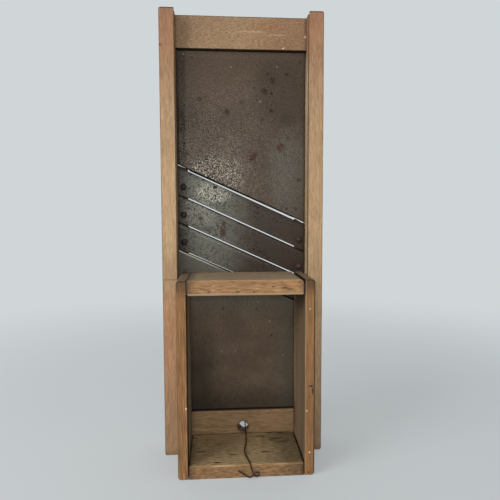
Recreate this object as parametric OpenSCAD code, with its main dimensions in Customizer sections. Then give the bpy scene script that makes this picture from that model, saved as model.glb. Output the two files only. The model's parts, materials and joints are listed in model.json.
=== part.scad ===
// Wooden cabbage cutter: two grooved rails carry a sheet-steel bed with slanted blades,
// and an open box slides along the rails over the blades.
// X runs across the board, Y from front to back, Z up along the rails.

/* [Rails] */
// Width over both rails
board_w = 203; // [185:1:230]
// Length of the rails
board_l = 559; // [520:1:640]
// Thickness of a rail, seen from the front
rail_t = 18.5; // [16:0.5:24]
// Depth of a rail from front to back
rail_d = 38; // [36:0.5:46]
// Rounding of the rails' outer corners
rail_corner_r = 2.5; // [1:0.5:5]
// Wood in front of the groove
groove_lip = 3; // [2:0.5:5]
// Width of the groove that the box runs in
groove_w = 6.4; // [5:0.1:8]
// Depth of the groove
groove_d = 6.5; // [5:0.5:8]

/* [Crossbars] */
// Height of the head crossbar
head_h = 40.5; // [30:0.5:55]
// How far the head crossbar sits below the rails' top ends
head_drop = 2; // [0:0.5:8]
// How far the head crossbar's face lies behind the rails' front
head_recess = 17; // [14:0.5:19]
// Height of the foot crossbar's face
foot_h = 48; // [40:0.5:60]
// Height of the foot crossbar's lap behind the lower plate
foot_lap = 8; // [5:0.5:14]
// How far the foot crossbar's face stands proud of the lower plate
foot_proud = 0.8; // [0.2:0.1:1.5]
// How far the crossbars are let into each rail
housing_d = 5; // [3:0.5:8]
// How far the crossbars and ledgers lie inside the rails' back
back_inset = 2.5; // [2.2:0.1:4]
// Diameter of the hanging hole
hole_d = 14; // [12:0.5:18]
// Height of the hanging hole's centre
hole_z = 24; // [23:0.5:26]
// Depth of the slot in the head crossbar that takes the upper plate
kerf_d = 10; // [6:0.5:16]
// Play round the plate in that slot
kerf_play = 0.3; // [0.1:0.1:0.6]

/* [Bed] */
// Depth of the steel bed behind the rails' front
bed_depth = 24.5; // [23:0.5:28]
// Thickness of the bed plates
plate_t = 1.2; // [0.8:0.1:2]
// Gap between the steel and the rails
side_play = 0.5; // [0.2:0.1:1]
// Width of a ledger strip
ledger_w = 12.8; // [11:0.2:16]
// Gap between the upper and the lower ledger on a rail
ledger_gap = 2.5; // [1:0.5:5]

/* [Blades] */
// Height of the first throat at the middle of the board
throat_z = 334; // [322:1:345]
// Slope of the blades
blade_angle = 24.5; // [18:0.5:30]
// Spacing of the blades, measured straight down the board
blade_pitch = 35.6; // [32:0.2:39]
// Width of a throat
throat = 1.8; // [1:0.1:3]
// Gap between the last blade and the lower plate
tail_gap = 1.2; // [0.6:0.1:2.5]
// Thickness of a blade
blade_t = 1.4; // [1:0.1:1.8]
// How far a blade's cutting edge is lifted off the ledgers' face
blade_lift = 2.2; // [1.4:0.1:2.6]
// Width of the ground bevel
bevel_w = 5; // [3:0.5:8]
// Thickness left at the cutting edge
edge_t = 0.2; // [0.1:0.05:0.4]

/* [Box] */
// Length of the box along the rails
box_l = 234; // [200:1:260]
// How far the box's rim stands in front of the rails
box_rise = 59; // [45:1:75]
// Gap between a side wall and its rail
box_play = 2.7; // [1:0.1:3.5]
// Thickness of the side walls
side_t = 12.2; // [10:0.2:14]
// Thickness of the upper end wall
upper_t = 18.3; // [14:0.1:22]
// Thickness of the lower end wall
lower_t = 16; // [14:0.1:16]
// Clearance under the side walls, over the screw heads
side_clear = 5.5; // [4.6:0.1:7]
// Clearance under the end walls, over the cutting edges
end_clear = 3; // [2.6:0.1:4]
// Rounding of the box's outer corners
box_corner_r = 4; // [2:0.5:6]
// Chamfer along the inner edge of the end walls' rims
rim_chamfer = 2.5; // [1:0.1:4]
// Reach of the tongue into the groove
tongue_in = 5.2; // [3:0.1:6]
// Play on each face of the tongue in the groove
tongue_play = 0.6; // [0.3:0.1:1]
// How far the tongue stops short of the side wall's ends
tongue_setback = 6; // [2:1:20]
// Gap between the box and the head crossbar at the top of its travel
stop_gap = 0.3; // [0.3:0.1:2]

/* [Fasteners] */
// Diameter of a blade screw's head
screw_head_d = 8.5; // [7:0.1:9.5]
// Height of a blade screw's head
screw_head_h = 2.6; // [2:0.1:3]
// Diameter of a blade screw's shank
screw_d = 4.2; // [3:0.1:5]
// Length of a blade screw under its head
screw_l = 7; // [5:0.5:8]
// Distance of a screw from the throat above it
screw_set = 21.8; // [18:0.2:24]
// Distance of the screws and plate nails from the rail
screw_inset = 7.5; // [6:0.1:8]
// Width of the slot in a screw's head
slot_w = 1.1; // [0.8:0.1:1.6]
// Depth of the slot in a screw's head
slot_d = 1.2; // [0.6:0.1:1.6]
// Diameter of a nail
nail_d = 2.2; // [1.8:0.1:2.8]
// Diameter of a nail's head
nail_head_d = 4.4; // [3.6:0.1:5.4]
// Thickness of a nail's head
nail_head_t = 0.9; // [0.6:0.1:1.4]
// Length of a plate nail under its head
plate_nail_l = 5.5; // [4:0.5:6]
// Distance of the upper plate nails below the head crossbar
head_nail_drop = 11; // [6:0.5:20]
// Height of the left plate nail above the first throat
left_nail_rise = 31; // [10:1:60]
// Height of the right plate nail above the first throat
right_nail_rise = 55; // [10:1:60]
// Drop of the left plate nail below the last throat
left_nail_drop = 26; // [10:1:40]
// Drop of the right plate nail below the last throat
right_nail_drop = 15; // [10:1:40]
// Height of the lowest plate nails above the foot crossbar
foot_nail_rise = 16; // [8:0.5:24]
// Grip of a nail in the second piece of wood
nail_grip = 20; // [12:1:26]
// Grip of a ledger nail in its rail
ledger_nail_grip = 8; // [5:0.5:12]
// Distance of the ledger nails from the ledgers' back
ledger_nail_back = 2.6; // [2.4:0.1:4]
// Play round screws and nails
fastener_play = 0.05; // [0.02:0.01:0.1]

/* [Wire] */
// Diameter of the hanging wire
wire_d = 1.6; // [1.2:0.1:1.6]

/* [Hidden] */
$fn = 48;
RAIL_WOOD = "#b8905f";
BAR_WOOD = "#a5835c";
BOX_WOOD = "#b07c48";
BED_STEEL = "#5d534b";
BLADE_STEEL = "#6d6a64";
IRON = "#3c332d";
RUSTY_WIRE = "#5a3a28";
// Overshoot of a cut beyond the face it opens
over = 1;

// Planes from front to back, with the whole part centred on Y
front_y = (box_rise - rail_d) / 2;
rim_y = front_y - box_rise;
back_y = front_y + rail_d;
inner_back_y = back_y - back_inset;
plate_y = front_y + bed_depth;
seat_y = plate_y + plate_t;
head_y = front_y + head_recess;
foot_y = plate_y - foot_proud;
side_low_y = plate_y - side_clear;
end_low_y = plate_y - end_clear;

// Widths measured from the middle of the board
rail_x = board_w / 2 - rail_t;
steel_x = rail_x - side_play;
ledger_x = rail_x - ledger_w;
fastener_x = rail_x - screw_inset;
wall_x = rail_x - box_play;
hopper_x = wall_x - side_t;

// Heights
head_top = board_l - head_drop;
head_low = head_top - head_h;
lap_top = foot_h + foot_lap;

// Blades lie between throats that slope down to the right
BLADES = 3;
throat_step = blade_pitch * cos(blade_angle);
blade_w = throat_step - throat;
blade_tilt = asin(blade_lift / blade_w);
function throat_height(x, drop) = throat_z - drop / cos(blade_angle) - x * tan(blade_angle);

// The box runs from the rails' lower end up to the head crossbar
travel = head_low - box_l - stop_gap;
echo(travel = travel);

module bar(low, high) {
    translate(low) cube(high - low);
}

module mirrored(side) {
    mirror([side < 0 ? 1 : 0, 0, 0]) children();
}

// Waste outside a rounded corner at the origin, on the +X +Z side, along Y
module corner_waste(r, low_y, high_y) {
    difference() {
        bar([-r, low_y - over, -r], [over, high_y + over, over]);
        translate([-r, high_y + 2 * over, -r]) rotate([90, 0, 0])
            cylinder(r = r, h = high_y - low_y + 4 * over);
    }
}

// Rounds both ends of a piece whose outer face is at x
module end_corners(x, length, r, low_y, high_y) {
    translate([x, 0, length]) corner_waste(r, low_y, high_y);
    translate([x, 0, 0]) mirror([0, 0, 1]) corner_waste(r, low_y, high_y);
}

// A nail along Z with the top of its head at z = 0
module nail(length, play = 0) {
    translate([0, 0, -nail_head_t - play]) cylinder(d = nail_head_d + 2 * play, h = nail_head_t + play);
    translate([0, 0, -nail_head_t - length - play])
        cylinder(d = nail_d + 2 * play, h = length + 2 * play);
}

// Room for a nail, open above its head
module nail_bore(length) {
    nail(length, fastener_play);
    cylinder(d = nail_head_d + 2 * fastener_play, h = over);
}

// Places children on a rail's outer face, with +Z pointing out of the wood
module on_outer_face(side, x, y, z) {
    translate([side * x, y, z]) rotate([0, side * 90, 0]) children();
}

// Crossbar nails
bar_nail_l = rail_t - housing_d - nail_head_t + nail_grip;
bar_nail_shares = [0.25, 0.75];
function bar_nail_z(low, high) = [for (share = bar_nail_shares) low + share * (high - low)];
head_nail_y = (seat_y + inner_back_y) / 2;
foot_nail_y = (foot_y + inner_back_y) / 2;

module head_nails_at(side) {
    for (z = bar_nail_z(head_low, head_top)) on_outer_face(side, board_w / 2, head_nail_y, z) children();
}

module foot_nails_at(side) {
    for (z = bar_nail_z(0, foot_h)) on_outer_face(side, board_w / 2, foot_nail_y, z) children();
}

// Ledgers, broken where the first throat meets the rail
function ledger_break(side) = throat_height(side * (rail_x + ledger_x) / 2, 0);
function upper_ledger_span(side) = [ledger_break(side) + ledger_gap / 2, head_low];
function lower_ledger_span(side) = [lap_top, ledger_break(side) - ledger_gap / 2];
ledger_nail_y = inner_back_y - ledger_nail_back;
ledger_nail_l = ledger_w - nail_head_t + ledger_nail_grip;
ledger_nail_shares = [0.15, 0.5, 0.85];

module span_nails_at(side, span) {
    for (share = ledger_nail_shares)
        translate([side * ledger_x, ledger_nail_y, span[0] + share * (span[1] - span[0])])
            rotate([0, -side * 90, 0]) children();
}

module ledger_nails_at(side) {
    span_nails_at(side, upper_ledger_span(side)) children();
    span_nails_at(side, lower_ledger_span(side)) children();
}

// Blade screws: children stand on the blade's front with +Z pointing out of it
module screw_at(index, side) {
    across = -(index * throat_step + screw_set);
    along = (side * fastener_x - across * sin(blade_angle)) / cos(blade_angle);
    low = -(index + 1) * throat_step + throat / 2;
    translate([0, seat_y, throat_z]) rotate([0, blade_angle, 0]) translate([along, 0, low])
        rotate([blade_tilt, 0, 0]) translate([0, -blade_t, (across - low) / cos(blade_tilt)])
            rotate([90, 0, 0]) children();
}

module screw_bore() {
    translate([0, 0, -screw_l - fastener_play])
        cylinder(d = screw_d + 2 * fastener_play, h = screw_l + screw_head_h);
}

// Plate nails stand on the plates, inside the ledgers' reach
function nail_rise(side) = side < 0 ? left_nail_rise : right_nail_rise;
function nail_drop(side) = side < 0 ? left_nail_drop : right_nail_drop;
function upper_nail_places() = [
    for (side = [-1, 1]) each [
        [side * fastener_x, head_low - head_nail_drop],
        [side * fastener_x, throat_height(side * fastener_x, 0) + nail_rise(side)]
    ]
];
function lower_nail_places() = [
    for (side = [-1, 1])
        let (
            low = lap_top + foot_nail_rise,
            high = throat_height(side * fastener_x, BLADES * throat_step) - nail_drop(side)
        )
            for (z = [low, (low + high) / 2, high]) [side * fastener_x, z]
];

module plate_nails_at(places) {
    for (p = places) translate([p[0], plate_y - nail_head_t, p[1]]) rotate([90, 0, 0]) children();
}

module rail(side) {
    mirrored(side) difference() {
        bar([rail_x, front_y, 0], [board_w / 2, back_y, board_l]);
        bar([rail_x - over, front_y + groove_lip, -over],
            [rail_x + groove_d, front_y + groove_lip + groove_w, board_l + over]);
        bar([rail_x - over, head_y, head_low], [rail_x + housing_d, inner_back_y, head_top]);
        bar([rail_x - over, foot_y, -over], [rail_x + housing_d, inner_back_y, foot_h]);
        bar([rail_x - over, seat_y, foot_h - over], [rail_x + housing_d, inner_back_y, lap_top]);
        end_corners(board_w / 2, board_l, rail_corner_r, front_y, back_y);
        head_nails_at(1) nail_bore(bar_nail_l);
        foot_nails_at(1) nail_bore(bar_nail_l);
        mirrored(side) ledger_nails_at(side) nail_bore(ledger_nail_l);
    }
}

module left_rail() {
    color(RAIL_WOOD) rail(-1);
}

module right_rail() {
    color(RAIL_WOOD) rail(1);
}

module head_crossbar() {
    bar_x = rail_x + housing_d;
    color(BAR_WOOD) difference() {
        bar([-bar_x, head_y, head_low], [bar_x, inner_back_y, head_top]);
        bar([-rail_x, plate_y - kerf_play, head_low - over], [rail_x, seat_y + kerf_play, head_low + kerf_d]);
        for (side = [-1, 1]) head_nails_at(side) nail_bore(bar_nail_l);
    }
}

module foot_crossbar() {
    bar_x = rail_x + housing_d;
    color(BAR_WOOD) difference() {
        union() {
            bar([-bar_x, foot_y, 0], [bar_x, inner_back_y, foot_h]);
            bar([-bar_x, seat_y, foot_h - over], [bar_x, inner_back_y, lap_top]);
        }
        translate([0, inner_back_y + over, hole_z]) rotate([90, 0, 0])
            cylinder(d = hole_d, h = inner_back_y - foot_y + 2 * over);
        for (side = [-1, 1]) foot_nails_at(side) nail_bore(bar_nail_l);
    }
}

// Outline of one blade across its width, sharpened on the front
module blade_section() {
    polygon([[0, 0], [0, blade_w], [-edge_t, blade_w], [-blade_t, blade_w - bevel_w], [-blade_t, 0]]);
}

// Saw-tooth section of the seats that tilt the blades
module seat_section() {
    polygon([
        [over, 0],
        for (i = [0 : BLADES - 1])
            each [[-blade_lift, -i * throat_step - throat / 2], [0, -(i + 1) * throat_step + throat / 2]],
        [over, -BLADES * throat_step]
    ]);
}

// Extrudes a section drawn in depth and height along the blades' slope
module along_slope(length) {
    rotate([90, 0, 90]) linear_extrude(height = length, center = true) children();
}

slope_l = 2 * board_w;

module blade(index) {
    color(BLADE_STEEL) difference() {
        intersection() {
            bar([-steel_x, rim_y, 0], [steel_x, back_y, board_l]);
            translate([0, seat_y, throat_z]) rotate([0, blade_angle, 0])
                translate([0, 0, -(index + 1) * throat_step + throat / 2]) rotate([blade_tilt, 0, 0])
                    along_slope(slope_l) blade_section();
        }
        for (side = [-1, 1]) screw_at(index, side) screw_bore();
    }
}

module upper_blade() {
    blade(0);
}

module middle_blade() {
    blade(1);
}

module lower_blade() {
    blade(2);
}

module upper_ledger(side) {
    span = upper_ledger_span(side);
    color(RAIL_WOOD) difference() {
        mirrored(side) bar([ledger_x, seat_y, span[0]], [rail_x, inner_back_y, span[1]]);
        span_nails_at(side, span) nail_bore(ledger_nail_l);
        plate_nails_at(upper_nail_places()) nail_bore(plate_nail_l);
    }
}

module lower_ledger(side) {
    span = lower_ledger_span(side);
    color(RAIL_WOOD) difference() {
        union() {
            mirrored(side) bar([ledger_x, seat_y, span[0]], [rail_x, inner_back_y, span[1]]);
            intersection() {
                mirrored(side) bar([ledger_x, seat_y - blade_lift, span[0]], [rail_x, inner_back_y, span[1]]);
                translate([0, seat_y, throat_z]) rotate([0, blade_angle, 0])
                    along_slope(slope_l) seat_section();
            }
        }
        span_nails_at(side, span) nail_bore(ledger_nail_l);
        plate_nails_at(lower_nail_places()) nail_bore(plate_nail_l);
        for (i = [0 : BLADES - 1]) screw_at(i, side) screw_bore();
    }
}

module left_upper_ledger() {
    upper_ledger(-1);
}

module right_upper_ledger() {
    upper_ledger(1);
}

module left_lower_ledger() {
    lower_ledger(-1);
}

module right_lower_ledger() {
    lower_ledger(1);
}

module plate(outline, places) {
    color(BED_STEEL) difference() {
        translate([0, seat_y, 0]) rotate([90, 0, 0]) linear_extrude(height = plate_t) polygon(outline);
        plate_nails_at(places) nail_bore(plate_nail_l);
    }
}

module upper_bed_plate() {
    high = head_low + kerf_d - kerf_play;
    plate([
        [-steel_x, high], [steel_x, high],
        [steel_x, throat_height(steel_x, -throat / 2)], [-steel_x, throat_height(-steel_x, -throat / 2)]
    ], upper_nail_places());
}

module lower_bed_plate() {
    low = foot_h + kerf_play;
    drop = BLADES * throat_step - throat / 2 + tail_gap;
    plate([
        [-steel_x, low], [steel_x, low],
        [steel_x, throat_height(steel_x, drop)], [-steel_x, throat_height(-steel_x, drop)]
    ], lower_nail_places());
}

// Round-headed slotted screw
module screw() {
    dome_r = (pow(screw_head_d / 2, 2) + pow(screw_head_h, 2)) / (2 * screw_head_h);
    difference() {
        intersection() {
            translate([0, 0, screw_head_h - dome_r]) sphere(r = dome_r);
            cylinder(d = screw_head_d, h = screw_head_h);
        }
        bar([-screw_head_d, -slot_w / 2, screw_head_h - slot_d],
            [screw_head_d, slot_w / 2, screw_head_h + over]);
    }
    translate([0, 0, -screw_l]) cylinder(d = screw_d, h = screw_l);
}

// Turn of the first screw's slot, and how much further each next one is driven
slot_turn = 25;
slot_turn_step = 50;

module blade_screws(side) {
    color(IRON) for (i = [0 : BLADES - 1])
        screw_at(i, side) rotate([0, 0, slot_turn + slot_turn_step * i]) screw();
}

module left_blade_screws() {
    blade_screws(-1);
}

module right_blade_screws() {
    blade_screws(1);
}

module upper_plate_nails() {
    color(IRON) plate_nails_at(upper_nail_places()) nail(plate_nail_l);
}

module lower_plate_nails() {
    color(IRON) plate_nails_at(lower_nail_places()) nail(plate_nail_l);
}

module head_crossbar_nails() {
    color(IRON) for (side = [-1, 1]) head_nails_at(side) nail(bar_nail_l);
}

module foot_crossbar_nails() {
    color(IRON) for (side = [-1, 1]) foot_nails_at(side) nail(bar_nail_l);
}

module left_ledger_nails() {
    color(IRON) ledger_nails_at(-1) nail(ledger_nail_l);
}

module right_ledger_nails() {
    color(IRON) ledger_nails_at(1) nail(ledger_nail_l);
}

// Box nails go through the side walls into the end walls
box_nail_l = side_t - nail_head_t + nail_grip;
box_nail_shares = [0.14, 0.42, 0.7];

module box_nails_at(side, z) {
    for (share = box_nail_shares) on_outer_face(side, wall_x, rim_y + share * box_rise, z) children();
}

upper_nail_z = box_l - upper_t / 2;
lower_nail_z = lower_t / 2;

module box_side(side) {
    tongue_y = front_y + groove_lip + tongue_play;
    color(BOX_WOOD) mirrored(side) difference() {
        union() {
            bar([hopper_x, rim_y, 0], [wall_x, side_low_y, box_l]);
            bar([wall_x - over, tongue_y, tongue_setback],
                [rail_x + tongue_in, tongue_y + groove_w - 2 * tongue_play, box_l - tongue_setback]);
        }
        end_corners(wall_x, box_l, box_corner_r, rim_y, side_low_y);
        for (z = [lower_nail_z, upper_nail_z]) box_nails_at(1, z) nail_bore(box_nail_l);
    }
}

module box_left_side() {
    box_side(-1);
}

module box_right_side() {
    box_side(1);
}

// An end wall between two heights, with a chamfered inner edge along its rim
module box_end(low, high, inner_z, nail_z) {
    color(BOX_WOOD) difference() {
        bar([-hopper_x, rim_y, low], [hopper_x, end_low_y, high]);
        translate([-hopper_x - over, rim_y, inner_z]) rotate([45, 0, 0])
            bar([0, -rim_chamfer / sqrt(2), -rim_chamfer / sqrt(2)],
                [2 * hopper_x + 2 * over, rim_chamfer / sqrt(2), rim_chamfer / sqrt(2)]);
        for (side = [-1, 1]) box_nails_at(side, nail_z) nail_bore(box_nail_l);
    }
}

module box_upper_end() {
    box_end(box_l - upper_t, box_l, box_l - upper_t, upper_nail_z);
}

module box_lower_end() {
    box_end(0, lower_t, lower_t, lower_nail_z);
}

module box_upper_nails() {
    color(IRON) for (side = [-1, 1]) box_nails_at(side, upper_nail_z) nail(box_nail_l);
}

module box_lower_nails() {
    color(IRON) for (side = [-1, 1]) box_nails_at(side, lower_nail_z) nail(box_nail_l);
}

// Hanging wire, from its hook behind the foot crossbar through the hole, over the lower end wall
// and down in front of it to a twisted eye
wire_sides = 8;
wire_route = [
    [2.2, 47.2, 41], [2.6, 47.2, 36], [3, 47.2, 31], [3.3, 47.2, 27], [3.5, 46.6, 23.4],
    [3.6, 45, 20.8], [3.6, 42, 19.8], [3.6, 38, 19.6], [3.6, 34, 19.4], [3.7, 30, 18.6],
    [3.7, 26, 17.6], [3.6, 22, 17.2], [3.4, 17, 17.2], [3, 12, 17.2], [2.6, 7, 17.2],
    [2, 2, 17.2], [1.4, -3, 17.2], [0.4, -8, 17.2], [-0.4, -13, 17.2], [-0.9, -18, 17.2],
    [-0.9, -23, 17.2], [-0.4, -28, 17.2], [0.5, -33, 17.2], [1.6, -38, 17.2], [2.8, -43, 17.2],
    [3.4, -46, 17], [4, -48.2, 16], [4.6, -49.6, 14.2], [5.2, -50, 12], [6, -50, 9.8],
    [6.8, -50, 7.6], [7.5, -50, 5.2], [8.6, -50, 3.2], [10.6, -50.2, 2.2], [12.8, -50.6, 2.6],
    [14.2, -51, 4.4], [14, -51.4, 6.6], [12.2, -51.8, 7.8], [10.2, -52.1, 7], [8.4, -52.3, 5.4],
    [6.2, -52.3, 3.6], [3.6, -52, 2.4], [1, -51.6, 2.8], [-1.4, -51.2, 4], [-4, -50.8, 5.8],
    [-7, -50.4, 7.8], [-10, -50.2, 9.8]
];

function unit(v) = v / norm(v);
function heading(route, i) = unit(route[min(i + 1, len(route) - 1)] - route[max(i - 1, 0)]);
function carried(side, ahead) = unit(side - (side * ahead) * ahead);
function sides_along(route, i, side) = i == len(route) ? [] :
    let (now = carried(side, heading(route, i))) concat([now], sides_along(route, i + 1, now));

// A round wire swept along a route
module swept_wire(route, d, sides) {
    sideways = sides_along(route, 0, [1, 0, 0]);
    last = (len(route) - 1) * sides;
    points = [
        for (i = [0 : len(route) - 1], k = [0 : sides - 1])
            let (turn = 360 * k / sides, up = cross(heading(route, i), sideways[i]))
                route[i] + d / 2 * (cos(turn) * sideways[i] + sin(turn) * up)
    ];
    walls = [
        for (i = [0 : len(route) - 2], k = [0 : sides - 1])
            let (a = i * sides + k, b = i * sides + (k + 1) % sides)
                each [[a, a + sides, b + sides], [a, b + sides, b]]
    ];
    caps = [for (k = [1 : sides - 2]) each [[0, k, k + 1], [last, last + k + 1, last + k]]];
    polyhedron(points, concat(walls, caps));
}

module hanging_wire() {
    color(RUSTY_WIRE) swept_wire(wire_route, wire_d, wire_sides);
}

left_rail();
right_rail();
head_crossbar();
foot_crossbar();
left_upper_ledger();
right_upper_ledger();
left_lower_ledger();
right_lower_ledger();
upper_bed_plate();
upper_blade();
middle_blade();
lower_blade();
lower_bed_plate();
left_blade_screws();
right_blade_screws();
upper_plate_nails();
lower_plate_nails();
head_crossbar_nails();
foot_crossbar_nails();
left_ledger_nails();
right_ledger_nails();
box_left_side();
box_right_side();
box_upper_end();
box_lower_end();
box_upper_nails();
box_lower_nails();
hanging_wire();
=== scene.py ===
"""Looks of an old wooden cabbage cutter: worn boards, a rusted steel bed and a bent wire, in metres."""
import json
import math

import bmesh
import bpy
from bpy.props import FloatProperty, FloatVectorProperty, PointerProperty
from mathutils import Matrix, Vector, noise

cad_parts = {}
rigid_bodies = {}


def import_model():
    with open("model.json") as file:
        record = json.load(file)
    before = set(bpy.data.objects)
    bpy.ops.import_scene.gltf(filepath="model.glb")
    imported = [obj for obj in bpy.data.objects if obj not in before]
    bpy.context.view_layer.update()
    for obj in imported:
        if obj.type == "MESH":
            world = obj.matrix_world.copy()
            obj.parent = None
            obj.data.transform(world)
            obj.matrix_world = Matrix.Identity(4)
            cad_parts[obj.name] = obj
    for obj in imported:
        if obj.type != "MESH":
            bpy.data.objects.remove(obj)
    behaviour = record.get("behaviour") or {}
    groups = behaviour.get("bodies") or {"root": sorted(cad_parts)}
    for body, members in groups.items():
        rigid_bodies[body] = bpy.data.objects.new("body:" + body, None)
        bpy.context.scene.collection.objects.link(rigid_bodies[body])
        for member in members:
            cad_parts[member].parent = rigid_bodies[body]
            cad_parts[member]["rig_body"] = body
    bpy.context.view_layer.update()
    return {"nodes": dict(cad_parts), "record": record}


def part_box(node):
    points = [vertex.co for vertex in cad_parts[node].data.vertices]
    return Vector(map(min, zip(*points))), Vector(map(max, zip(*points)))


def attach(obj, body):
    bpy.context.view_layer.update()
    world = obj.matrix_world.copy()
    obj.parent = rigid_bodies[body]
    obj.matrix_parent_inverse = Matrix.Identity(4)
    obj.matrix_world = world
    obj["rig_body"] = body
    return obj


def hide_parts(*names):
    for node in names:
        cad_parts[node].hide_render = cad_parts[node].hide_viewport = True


bl_info = {
    "name": "Cabbage Cutter",
    "version": (1, 0, 0),
    "blender": (4, 5, 0),
    "location": "View3D > Sidebar > Cutter",
    "description": "Dresses a cabbage cutter's solids with worn wood, rusted steel and a hanging wire",
    "category": "Add Mesh",
}

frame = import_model()
MOUNTS = {mount["name"]: mount for mount in frame["record"]["mounts"]}

X, Y, Z = range(3)
AXES = {"x": X, "y": Y, "z": Z}
RIGHT = Vector((1, 0, 0))
BACK = Vector((0, 1, 0))
UP = Vector((0, 0, 1))
MM = 0.001
# Distance under which two places count as one
NEAR = 0.00005
# Edges that turn more than this are rounded by wear
SHARP = math.radians(40)
# Name of the mesh attribute that marks worn edges
EDGE = "worn_edge"
# How often unevenness repeats in a metre
BOARD_WAVES = 22
BOARD_CHIPS = 90
PLATE_WAVES = 24
NAIL_DENTS = 700


def seen(red, green, blue):
    """A colour as it looks on a screen, from 0 to 255, as linear light."""
    def linear(value):
        share = value / 255
        return share / 12.92 if share <= 0.04045 else ((share + 0.055) / 1.055) ** 2.4
    return linear(red), linear(green), linear(blue)


def colour_value(what, default):
    """A colour that a user can change."""
    return FloatVectorProperty(description=what, subtype="COLOR", size=3, min=0, max=1, default=default)


def length_value(what, default):
    """A length in metres that a user can change."""
    return FloatProperty(description=what, unit="LENGTH", min=0, precision=4, default=default)


class CutterShape(bpy.types.PropertyGroup):
    """Sizes of what the boards' outer boxes don't tell"""
    groove_lip: length_value("Wood in front of the groove in a rail", 0.003)
    groove_width: length_value("Width of the groove in a rail", 0.0064)
    groove_depth: length_value("Depth of the groove in a rail", 0.0065)
    rail_corner: length_value("Rounding of the rails' outer corners", 0.0025)
    kerf_depth: length_value("Depth of the slot that takes the upper plate", 0.01)
    kerf_play: length_value("Play round the plate in its slot", 0.0003)
    side_wall: length_value("Thickness of the box's side walls", 0.0122)
    box_corner: length_value("Rounding of the box's outer corners", 0.004)
    worn_corner: length_value("Rounding of the upper end's right corner", 0.006)
    rim_chamfer: length_value("Chamfer inside the end walls' rims", 0.0025)
    tongue_play: length_value("Play on each face of a tongue in its groove", 0.0006)
    tongue_setback: length_value("How far a tongue stops short of its wall's ends", 0.006)
    edge_wear: length_value("Rounding of a board's edges by use", 0.0009)
    wave: length_value("Unevenness of a board's faces", 0.00025)
    chip: length_value("Depth of the dents along a board's edges", 0.0006)
    dent: length_value("Unevenness of the steel plates", 0.0004)
    slice: length_value("Spacing of the cuts that let a piece bend", 0.007)
    crack: length_value("Gap between an end wall of the box and its side walls", 0.0003)
    throat: length_value("Height of the first throat at the middle of the board", 0.334)
    throat_width: length_value("Width of a throat", 0.0018)
    blade_step: length_value("Distance from one throat to the next across them", 0.0324)
    tail_gap: length_value("Width of the gap under the last blade", 0.0012)
    throat_spread: length_value("How much wider the first throat is at its right end", 0.0012)
    tail_pinch: length_value("How much narrower the gap under the last blade is at its right end", 0.001)
    creep: length_value("How far dirt has brought down the edge above a throat", 0.0004)
    ledger_gap: length_value("Gap between the ledgers' ends, under the first throat", 0.0016)
    slant: FloatProperty(description="Slope of the blades", unit="ROTATION", default=math.radians(24.5))


class CutterWood(bpy.types.PropertyGroup):
    """Colours of the wooden pieces"""
    # Lighter and darker copies paint light and shade on the rails
    rail: colour_value("Bare wood of the rails", seen(161, 133, 100))
    ruddy: colour_value("Redder wood at the rails' ends", seen(163, 120, 89))
    # A darker copy paints the left rail's shade on the head crossbar
    bar: colour_value("Bare wood of the crossbars", seen(149, 120, 90))
    box: colour_value("Handled wood of the box", seen(139, 100, 63))
    stain: colour_value("Grey stain on the box's end", seen(122, 106, 86))
    # Lighter copies paint light on the lower end's top face
    olive: colour_value("Green-brown stain inside the box", seen(142, 122, 90))
    # Grime also serves as painted shade: under the head crossbar, on the ledgers, at the foot crossbar's
    # shoulder and along the box walls' rims
    grime: colour_value("Dirt in dents and corners", seen(50, 37, 25))
    # Also painted light on the lower part of the right rail, and partly on the upper end's chamfer
    worn: colour_value("Rubbed wood along the edges", seen(196, 164, 124))
    # Also painted light on the right rail's inner face
    speck: colour_value("Bright specks in the wood", seen(232, 208, 168))


class CutterSteel(bpy.types.PropertyGroup):
    """Colours of the metal pieces"""
    # Lighter copies paint light at the top of the upper plate
    plate: colour_value("Brown patina of the bed plates", seen(70, 58, 47))
    blade: colour_value("Grey patina of the blades", seen(107, 107, 97))
    # Also painted shade on the blades' ground bevels and in lines along the rails
    brown: colour_value("Brown patina at the blades' right ends", seen(58, 47, 40))
    # Also painted highlights: the glare and sheen on the upper plate and blades, and the lower plate's edge
    bare: colour_value("Bright specks of bare steel", seen(192, 186, 170))
    # The margin is painted shade: along the rails and low inside the box
    margin: colour_value("Dark margin along the rails", seen(30, 28, 21))
    rust: colour_value("Red rust in patches", seen(60, 37, 25))
    # Also painted shade: dark lines at the edges of the plates and blades, and where the plates meet the
    # crossbars
    pit: colour_value("Dark rust in pits", seen(36, 28, 24))
    iron: colour_value("Screws and nails", seen(46, 38, 33))
    wire: colour_value("Hanging wire", seen(58, 38, 26))


class CutterStage(bpy.types.PropertyGroup):
    """Floor, background and lamps"""
    pale: colour_value("Floor and background", seen(208, 214, 216))
    sky: FloatProperty(description="Even light from all sides", min=0, default=0.46)
    window: FloatProperty(description="Front lamp", unit="POWER", min=0, default=16)
    softbox: FloatProperty(description="Lamp at the left", unit="POWER", min=0, default=18)
    floor: length_value("Radius of the floor", 4.0)


class CutterSettings(bpy.types.PropertyGroup):
    """All that a user can change"""
    shape: PointerProperty(type=CutterShape)
    wood: PointerProperty(type=CutterWood)
    steel: PointerProperty(type=CutterSteel)
    stage: PointerProperty(type=CutterStage)


# Shaping

def at(x, y, z):
    """A place or radii in metres from millimetres."""
    return Vector((x, y, z)) * MM


def throat_line(sizes, drop):
    """The direction across the throats, and how far along it a line lies below the first throat."""
    across = Vector((math.sin(sizes.slant), 0, math.cos(sizes.slant)))
    return across, sizes.throat * across.z - drop


def block(low, high):
    """A plain block between two corners."""
    shape = bmesh.new()
    bmesh.ops.create_cube(shape, size=1)
    bmesh.ops.scale(shape, vec=high - low, verts=shape.verts)
    bmesh.ops.translate(shape, vec=(low + high) / 2, verts=shape.verts)
    return shape


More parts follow.
